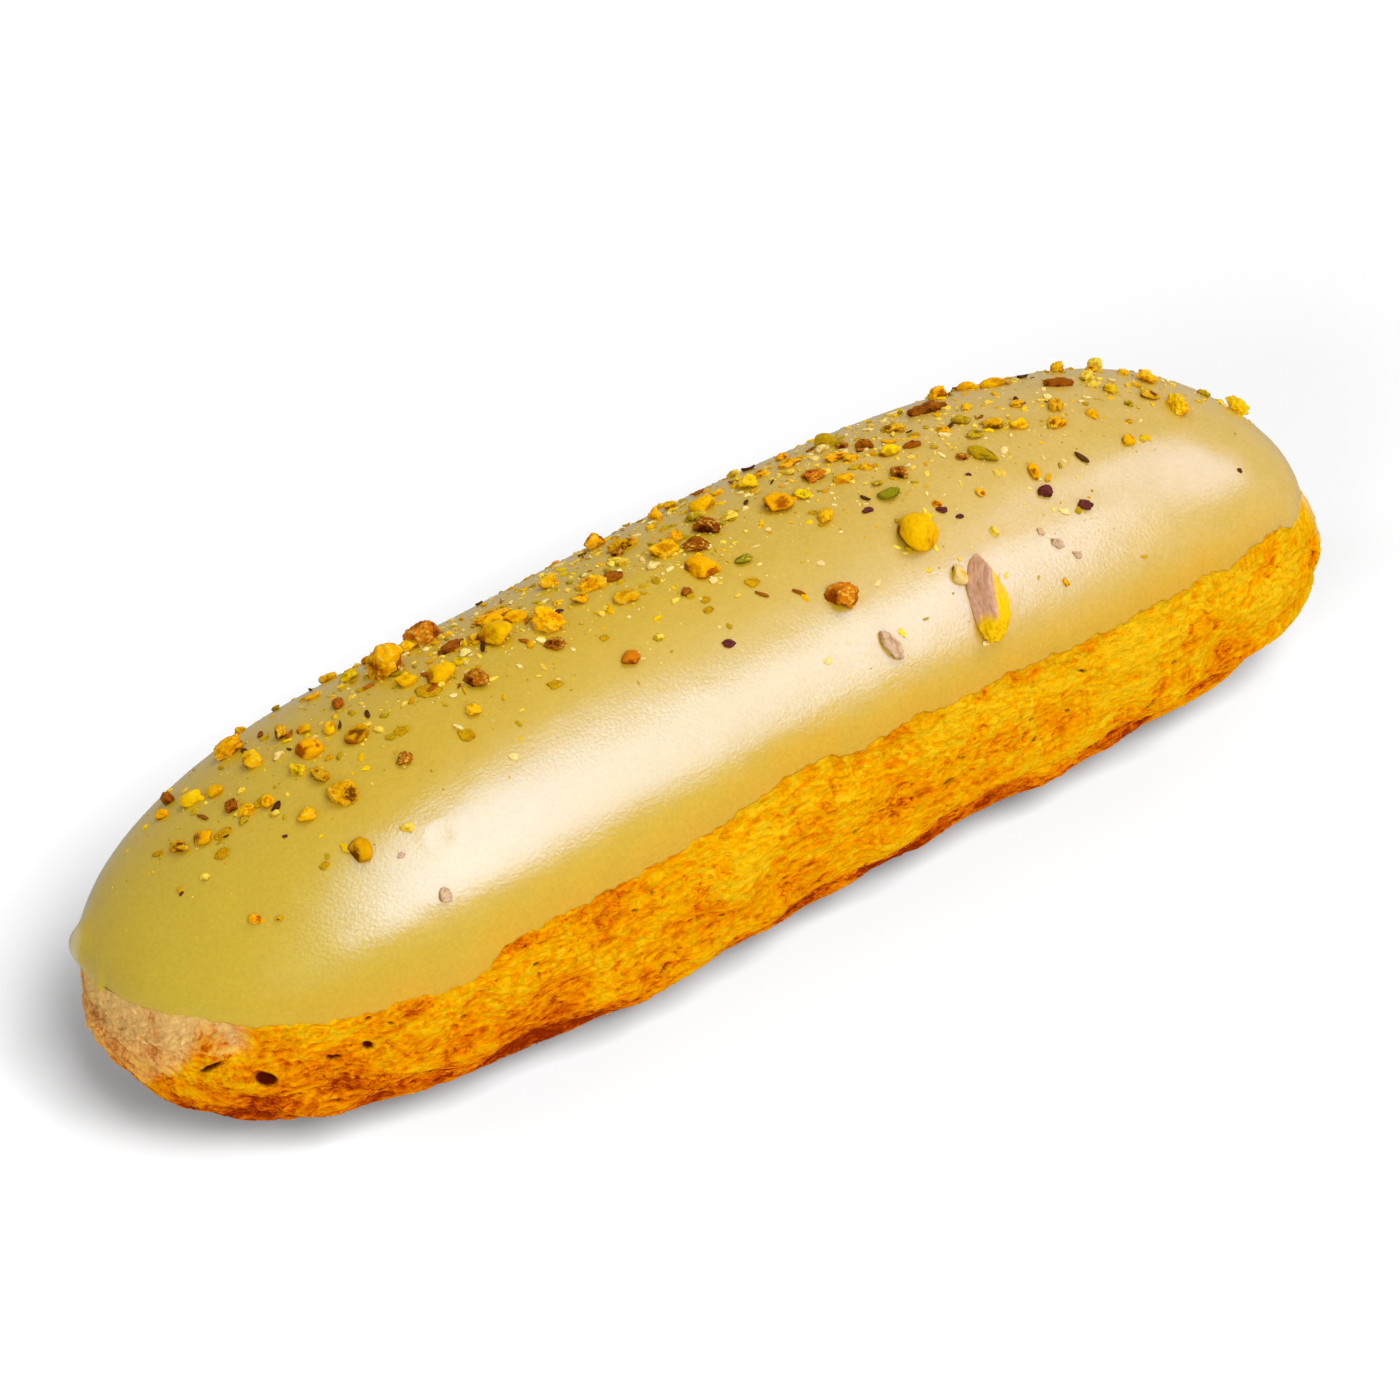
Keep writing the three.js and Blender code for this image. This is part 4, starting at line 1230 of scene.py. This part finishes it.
def tidy_mesh(piece):
    """Points that lie together are joined and loose ones dropped."""
    work = bmesh.new()
    work.from_mesh(piece.data)
    bmesh.ops.remove_doubles(work, verts=work.verts, dist=1e-7)
    loose = [vertex for vertex in work.verts if not vertex.link_faces]
    bmesh.ops.delete(work, geom=loose, context="VERTS")
    bmesh.ops.recalc_face_normals(work, faces=work.faces)
    work.to_mesh(piece.data)
    work.free()


def stains(points, pieces):
    """Soft yellow-olive stains: round the pieces on the icing, and over the bits that sank into it."""
    stain = np.zeros(len(points))
    ragged = 1 + STAIN_RAGS * noise(points, *STAIN_NOISE)
    spots = []
    for piece in pieces:
        size = (STAIN_REACH * piece["long"], STAIN_REACH * piece["wide"])
        spots.append((piece, size, STAIN_STRENGTH, STAIN_STEEPNESS))
    for piece, (*_, strength) in zip(sunk_bits(), SUNK_BITS):
        size = (SUNK_STAIN_LONG * piece["long"], SUNK_STAIN_WIDE * piece["long"])
        spots.append((piece, size, strength, SUNK_STAIN_STEEPNESS))
    for piece, size, strength, steepness in spots:
        near = np.abs(points[:, 0] - piece["x"]) < STAIN_NEAR * size[0]
        out, height = oval_place(points[near], piece["x"], piece["lean"], piece["turn"], *size)
        away = np.sqrt(out + (height / STAIN_LAYER) ** 2) * ragged[near]
        stain[near] = np.maximum(stain[near], strength * np.exp(-(away ** steepness)))
    return stain


# Pistachio pieces


def nut_piece(*values):
    """A piece of nut by its x, lean, length, width, height, turn, kind and colour; angles in degrees."""
    piece = dict(zip(("x", "lean", "long", "wide", "tall", "turn", "kind", "colour"), values))
    piece["lean"], piece["turn"] = math.radians(piece["lean"]), math.radians(piece["turn"])
    piece["place"] = form_points(piece["x"], piece["lean"])
    return piece


def piece_list():
    """The model's pieces: the named ones, and the smaller ones by its seeded rule."""
    draw = Draw(SCATTER_SEED)
    pieces = [nut_piece(*row) for row in MAIN_PIECES]
    while len(pieces) < len(MAIN_PIECES) + SCATTER_COUNT:
        x = between((SCATTER_FROM, SCATTER_TO), draw.next())
        lean = SCATTER_LEAN + SCATTER_SPREAD * (draw.next() + draw.next() + draw.next() - 1.5)
        long = SMALL_PIECE + SMALL_PIECE_RANGE * draw.next() ** 2
        wide = long * between(SMALL_WIDE, draw.next())
        tall = long * between(SMALL_TALL, draw.next())
        look = SCATTER_LOOKS[(len(pieces) * 7) % len(SCATTER_LOOKS)]
        piece = nut_piece(x, lean, long, wide, tall, 180 * draw.next(), *look)
        gaps = (np.linalg.norm(piece["place"] - other["place"]) / (long + other["long"]) for other in pieces)
        if min(gaps) > CLEARANCE_SHARE:
            pieces.append(piece)
    return pieces


def sphere(levels):
    """Points and faces of a sphere of triangles."""
    work = bmesh.new()
    bmesh.ops.create_icosphere(work, subdivisions=levels, radius=1)
    points = np.array([vertex.co for vertex in work.verts])
    faces = np.array([[vertex.index for vertex in face.verts] for face in work.faces])
    work.free()
    return points, faces


def random_shift(random):
    """A shift that gives each body noise of its own."""
    return random.uniform(-50, 50, 3)


def cut_radius(directions, planes, offsets, sharpness):
    """How far out a sphere's points lie when planes cut it, with edges as sharp as asked."""
    facing = np.maximum(directions @ planes.T, 0) / offsets
    return ((facing ** sharpness).sum(axis=1) + 1) ** (-1 / sharpness)


def random_cuts(directions, random, cuts, sharpness):
    """The same for some planes at random."""
    planes = unit(random.normal(size=(cuts, 3)))
    return cut_radius(directions, planes, random.uniform(0.55, 1.0, cuts), sharpness)


def kernel_form(directions, random):
    """A smooth kernel, faintly lumpy, with a few flat breaks."""
    radius = random_cuts(directions, random, cuts=8, sharpness=18)
    lumps = noise(directions + random_shift(random), 0.8, 5)
    grain = noise(directions + random_shift(random), 0.2, 6)
    return directions * (1.04 * radius * (1 + 0.05 * lumps + 0.03 * grain))[:, None]


def chunk_form(directions, random):
    """A broken chunk of flat breaks, with crumbly faces and a few hollows."""
    radius = random_cuts(directions, random, cuts=12, sharpness=34)
    shifted = directions + random_shift(random)
    lumps = noise(shifted, 0.9, 5)
    folds = np.abs(noise(shifted, 0.45, 6))
    grain = noise(shifted, 0.16, 7)
    return directions * (radius * (1.1 + 0.14 * lumps - 0.26 * folds + 0.1 * grain))[:, None]


def flake_form(directions, random):
    """A flat scrap with an angular outline, steep sides and a nearly level top."""
    around = unit(directions * np.array([1, 1, 0.001]))
    radius = random_cuts(around, random, cuts=6, sharpness=40)
    shifted = directions + random_shift(random)
    folds = noise(shifted, 0.4, 6)
    grain = noise(shifted, 0.15, 7)
    points = 0.85 * directions * (radius * (1 + 0.16 * folds + 0.08 * grain))[:, None]
    level = np.sign(directions[:, 2]) * np.abs(directions[:, 2]) ** 0.4
    points[:, 2] = level * (0.8 + 0.3 * folds)
    points[:, :2] *= (1.15 - 0.2 * np.abs(level))[:, None]
    return points


def half_form(directions, random):
    """Half of a split kernel: two faces that meet in a ridge, a pointed top end and a crumbly foot."""
    radius = cut_radius(directions, unit(np.array(HALF_FACES)), HALF_REACH, sharpness=40)
    grain = noise(directions + random_shift(random), 0.12, 7)
    crumbly = 0.03 + 0.09 * smooth(0.5, 0.8, directions[:, 0])
    return 1.15 * directions * (radius * (1 + crumbly * grain))[:, None]


FORMS = {"kernel": kernel_form, "chunk": chunk_form, "flake": flake_form, "half": half_form}


def seat(points, x, lean, turn, size, seat_share):
    """Unit points scaled to a size and set down on the icing."""
    base, lengthwise, crosswise, normal = surface_frame(x, lean, turn)
    centre = base - normal * icing_surface(base[None])[0] + normal * seat_share * size[2]
    axes = np.stack([lengthwise, crosswise, normal]) * (np.array(size) / 2)[:, None]
    return centre + points @ axes


class Heap:
    """Many small closed bodies gathered into one mesh, with a colour for each point."""

    def __init__(self):
        self.points, self.faces, self.colours = [], [], []
        self.count = 0

    def add(self, points, faces, colours):
        self.points.append(points)
        self.faces.append(faces + self.count)
        self.colours.append(np.broadcast_to(colours, points.shape))
        self.count += len(points)

    def build(self, name, material, smooth_shaded):
        faces = np.concatenate(self.faces).tolist()
        piece = new_mesh(name, np.concatenate(self.points), faces, material, smooth_shaded)
        add_colours(piece, "tint", np.concatenate(self.colours))
        return piece


def varied(colour, random, amount):
    """A colour in linear light, a little lighter or darker, and shifted in hue."""
    lighter = random.uniform(1 - amount, 1 + amount)
    return np.clip(linear(colour) * lighter * random.uniform(0.95, 1.05, 3), 0, 1)


def random_colour(names, random, amount):
    """One of some colour families, varied."""
    flesh = NUT_COLOURS[names[random.integers(len(names))]][0]
    return varied(flesh, random, amount)


def blended(tint, colour, share):
    """Colours drawn towards another by a share for each point."""
    return tint + (colour - tint) * share[:, None]


def piece_colours(piece, directions, body, random):
    """Flesh with painted shade in hollows and at its foot, and skin or painted glints on some kinds."""
    kind = piece["kind"]
    flesh, shade = NUT_COLOURS[piece["colour"]]
    flesh = varied(flesh, random, amount=0.08)
    shade = varied(shade, random, amount=0.15)
    shifted = directions + random_shift(random)
    patches = noise(shifted, 0.5, 8) + 0.5 * noise(shifted, 0.17, 9)
    radius = np.linalg.norm(body, axis=1)
    raised = radius / np.median(radius) - 1
    # Towards the shade colour: by kind, in random patches, and as painted shade low on the piece
    dark = KIND_DARKNESS[kind] + 0.4 * patches + 0.45 * smooth(0.1, -0.45, directions[:, 2])
    if kind in ("kernel", "chunk"):
        # Painted shade in the hollows of kernels and chunks
        dark = dark - 2.4 * raised
    if kind == "kernel":
        # Painted shade on one side of a kernel, turned at random
        side = unit(random.normal(size=3) * np.array([1, 1, 0.3]))
        dark = dark + 0.55 * smooth(0.1, 0.9, directions @ side)
    tint = blended(flesh, shade, smooth(0.2, 0.85, dark))
    if kind == "half":
        return half_colours(tint, directions, patches)
    if kind == "kernel" and random.random() < 0.7:
        side = unit(np.array([-0.8, random.uniform(-0.6, 0.6), -0.35]))
        skin = smooth(0.72, 0.86, directions @ side + 0.12 * patches)
        return blended(tint, linear(NUT_COLOURS["rust"][0]), skin)
    if kind == "chunk":
        # Lemon specks on the raised parts of chunks: painted glints
        specks = smooth(0.2, 0.5, noise(shifted, 0.14, 10)) * smooth(-0.02, 0.1, raised)
        return blended(tint, linear(NUT_COLOURS["lemon"][0]), 0.65 * specks)
    return tint


def half_colours(tint, directions, patches):
    """The split kernel's half: milky towards its top end, with pink skin on its near face."""
    lengthwise = directions[:, 0]
    milky = linear(NUT_COLOURS["lemon"][0]) * smooth(0.3, -0.4, lengthwise)[:, None]
    tint = np.maximum(tint, 0.8 * milky)
    facing = directions @ unit(np.array([-0.25, -1.0, 0.0])) + 0.1 * noise(directions, 0.3, 7)
    skin = smooth(0.0, 0.1, facing) * smooth(0.6, 0.35, lengthwise)
    pink = linear(SKIN_PINK) * (1 - 0.3 * np.abs(patches))[:, None]
    return blended(tint, pink, skin)


def make_pieces(name, material, pieces, levels):
    """Pieces of nut as one mesh, each by the form of its kind and seated on the icing."""
    random = np.random.default_rng(CRUMB_SEED + levels)
    directions, faces = sphere(levels)
    heap = Heap()
    for piece in pieces:
        body = FORMS[piece["kind"]](directions, random)
        size = np.array([piece["long"], piece["wide"], piece["tall"]]) * FORM_GROWTH
        points = seat(body, piece["x"], piece["lean"], piece["turn"], size, SEAT_SHARE)
        heap.add(points, faces, piece_colours(piece, directions, body, random))
    return heap.build(name, material, True)


def lone_bits():
    """The small bits on the bare side, as flakes or chunks by their colour."""
    bits = []
    for x, lean, long, turn, colour in LONE_BITS:
        kind = "flake" if colour in FLAKE_COLOURS else "chunk"
        bits.append(nut_piece(x, lean, long, long * LONE_WIDE, long * LONE_TALL[kind], turn, kind, colour))
    return bits


def sunk_bits():
    """The thin flakes that are half sunk in the icing."""
    bits = []
    for x, lean, long, turn, _ in SUNK_BITS:
        bits.append(nut_piece(x, lean, long, long * SUNK_WIDE, SUNK_TALL, turn, "flake", "sunk"))
    return bits


def crumb_place(random, pieces):
    """Where a crumb falls: near one of the pieces, or anywhere along the crest."""
    if random.random() < HOSTED_SHARE:
        host = pieces[random.integers(len(pieces))]
        return host["x"] + random.normal(0, HOSTED_ALONG), host["lean"] + random.normal(0, HOSTED_LEAN)
    x = random.uniform(-CREST_REACH, CREST_REACH)
    return x, math.radians(CRUMB_LEAN) + random.normal(0, CREST_SPREAD)


def is_bare(x, lean, random):
    """Whether a crumb is left out: off the crest, and by chance at both ends and on the far side."""
    if not ICING_FROM + 2 < x < ICING_TO - 2 or abs(lean) > CRUMB_LEAN_LIMIT:
        return True
    if random.random() < sum(grown(row, x) for row in BARE_ENDS):
        return True
    return lean < FAR_FROM and random.random() < FAR_BARE


def make_crumbs(material, pieces):
    """Pale dust and crumbs, thickest along the crest and round the larger pieces."""
    random = np.random.default_rng(CRUMB_SEED + 1)
    directions, faces = sphere(levels=1)
    heap = Heap()
    for _ in range(CRUMB_COUNT):
        x, lean = crumb_place(random, pieces)
        if is_bare(x, lean, random):
            continue
        long = between((CRUMB_SMALLEST, CRUMB_LARGEST), random.random() ** 4)
        size = (long, long * random.uniform(0.35, 0.85), long * random.uniform(0.2, 0.5))
        body = directions * random.uniform(0.6, 1.3, (len(directions), 1))
        colours = LEFT_CRUMB_COLOURS if random.random() < smooth(*LEFT_COLOURS_ALONG, x) else CRUMB_COLOURS
        colour = random_colour(colours, random, amount=0.15)
        heap.add(seat(body, x, lean, random.uniform(0, math.pi), size, CRUMB_SEAT), faces, colour)
    return heap.build("pistachio_crumbs", material, False)


def make_skins(material):
    """Thin curled flakes of dark kernel skin."""
    random = np.random.default_rng(SKIN_SEED)
    directions, faces = sphere(levels=2)
    heap = Heap()
    for _ in range(SKIN_COUNT):
        x = random.uniform(-SKIN_REACH, SKIN_REACH)
        lean = math.radians(SKIN_LEAN) + random.normal(0, CREST_SPREAD)
        long = random.uniform(SKIN_SHORTEST, SKIN_LONGEST)
        size = (long, long * random.uniform(0.2, 0.5), long * random.uniform(0.12, 0.3))
        body = flake_form(directions, random)
        body[:, 2] += random.uniform(0.3, 1.5) * (body[:, 0] ** 2 - 0.3)
        colour = random_colour(SKIN_COLOURS, random, amount=0.25)
        heap.add(seat(body, x, lean, random.uniform(0, math.pi), size, SKIN_SEAT), faces, colour)
    return heap.build("pistachio_skins", material, True)


# Stage


def make_floor():
    """Plain pale floor."""
    material, _, main = shader("pale_floor")
    main.inputs["Base Color"].default_value = paint(FLOOR_GREY, FLOOR_GREY, FLOOR_GREY)
    main.inputs["Roughness"].default_value = 0.9
    main.inputs["Specular IOR Level"].default_value = 0.0
    corners = [(x * FLOOR_HALF, y * FLOOR_HALF, 0) for x, y in ((-1, -1), (1, -1), (1, 1), (-1, 1))]
    floor = new_mesh("floor", corners, [[0, 1, 2, 3]], material, False)
    floor.visible_glossy = False
    return floor


def direction(azimuth, elevation):
    """The way out from the eclair; azimuth is from -Y towards +X, in degrees."""
    turn, rise = math.radians(azimuth), math.radians(elevation)
    return Vector((math.sin(turn) * math.cos(rise), -math.cos(turn) * math.cos(rise), math.sin(rise)))


def make_light(name, azimuth, elevation, distance, size, power, turned=0.0, aside=(0.0, 0.0), in_gloss=False):
    """A rectangular softbox that faces the eclair.

    It can be turned in its own plane, and moved aside in it along its own width and height.
    One kind of softbox lights the surfaces, and the other is only mirrored in what is glossy.
    """
    light = bpy.data.lights.new(name, "AREA")
    light.shape = "RECTANGLE"
    light.size, light.size_y = size
    light.energy = power
    light.color = MIRRORED_TINT if in_gloss else (1, 1, 1)
    lamp = bpy.data.objects.new(name, light)
    lamp.visible_diffuse = not in_gloss
    lamp.visible_glossy = in_gloss
    away = direction(azimuth, elevation)
    level = direction(azimuth + 90, 0)
    facing = Matrix((level, away.cross(level), away)).transposed().to_4x4()
    place = Matrix.Translation(away * distance + Vector((0, 0, HEIGHT / 2 * MM)))
    inside = Matrix.Rotation(math.radians(turned), 4, "Z") @ Matrix.Translation((*aside, 0))
    lamp.matrix_world = place @ facing @ inside
    bpy.context.scene.collection.objects.link(lamp)
    return lamp


def make_lights(floor):
    for name, turned, aside, size, power in MIRRORED_SOFTBOXES:
        place = (MIRRORED_AZIMUTH, MIRRORED_ELEVATION, MIRRORED_FROM)
        make_light(name, *place, size, power, turned, aside, in_gloss=True)
    for name, azimuth, elevation, size, power in SOFTBOXES:
        make_light(name, azimuth, elevation, LIT_FROM, size, power)
    lit = bpy.data.collections.new("floor_lit_alone")
    lit.objects.link(floor)
    for name, azimuth, elevation, size, power in FLOOR_SOFTBOXES:
        lamp = make_light(name, azimuth, elevation, FLOOR_LIT_FROM, (size, size), power)
        lamp.light_linking.receiver_collection = lit
    world = bpy.data.worlds.new("studio")
    world.use_nodes = True
    background = world.node_tree.nodes["Background"]
    background.inputs["Color"].default_value = (1, 1, 1, 1)
    background.inputs["Strength"].default_value = STUDIO_STRENGTH
    bpy.context.scene.world = world


def make_camera():
    """The camera of the photo."""
    data = bpy.data.cameras.new("camera")
    data.lens = CAMERA_LENS
    data.sensor_width = CAMERA_SENSOR
    data.clip_start, data.clip_end = 0.01, 20
    away = direction(CAMERA_AZIMUTH, CAMERA_ELEVATION)
    camera = bpy.data.objects.new("camera", data)
    roll = Matrix.Rotation(math.radians(CAMERA_ROLL), 4, "Z")
    place = Matrix.Translation(Vector(CAMERA_TARGET) * MM + away * CAMERA_DISTANCE * MM)
    camera.matrix_world = place @ away.to_track_quat("Z", "Y").to_matrix().to_4x4() @ roll
    bpy.context.scene.collection.objects.link(camera)
    bpy.context.scene.camera = camera


def main():
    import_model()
    pieces = piece_list()
    choux = make_choux(choux_material())
    icing = make_icing(icing_material(), pieces)
    flesh = nut_material("pistachio_flesh", roughness=0.45, grain_scale=1800, grain_depth=0.0002)
    dust = nut_material("pistachio_crumb", roughness=0.5, grain_scale=3000, grain_depth=0.0001)
    skin = nut_material("pistachio_skin", roughness=0.4, grain_scale=2500, grain_depth=0.0001)
    large = [piece for piece in pieces if piece["long"] >= LARGE_FROM]
    small = [piece for piece in pieces if piece["long"] < LARGE_FROM]
    kernels = make_pieces("pistachio_kernels", flesh, large, levels=5)
    bits = make_pieces("pistachio_bits", flesh, small + lone_bits() + sunk_bits(), levels=4)
    crumbs = make_crumbs(dust, pieces)
    skins = make_skins(skin)
    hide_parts("choux_bun")
    for piece in (icing, kernels, bits, crumbs, skins):
        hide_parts("pistachio_fondant")
    for piece in (choux, icing, kernels, bits, crumbs, skins):
        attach(piece, "root")
    make_lights(make_floor())
    make_camera()
    bpy.context.scene.view_settings.view_transform = "Standard"
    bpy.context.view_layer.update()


main()
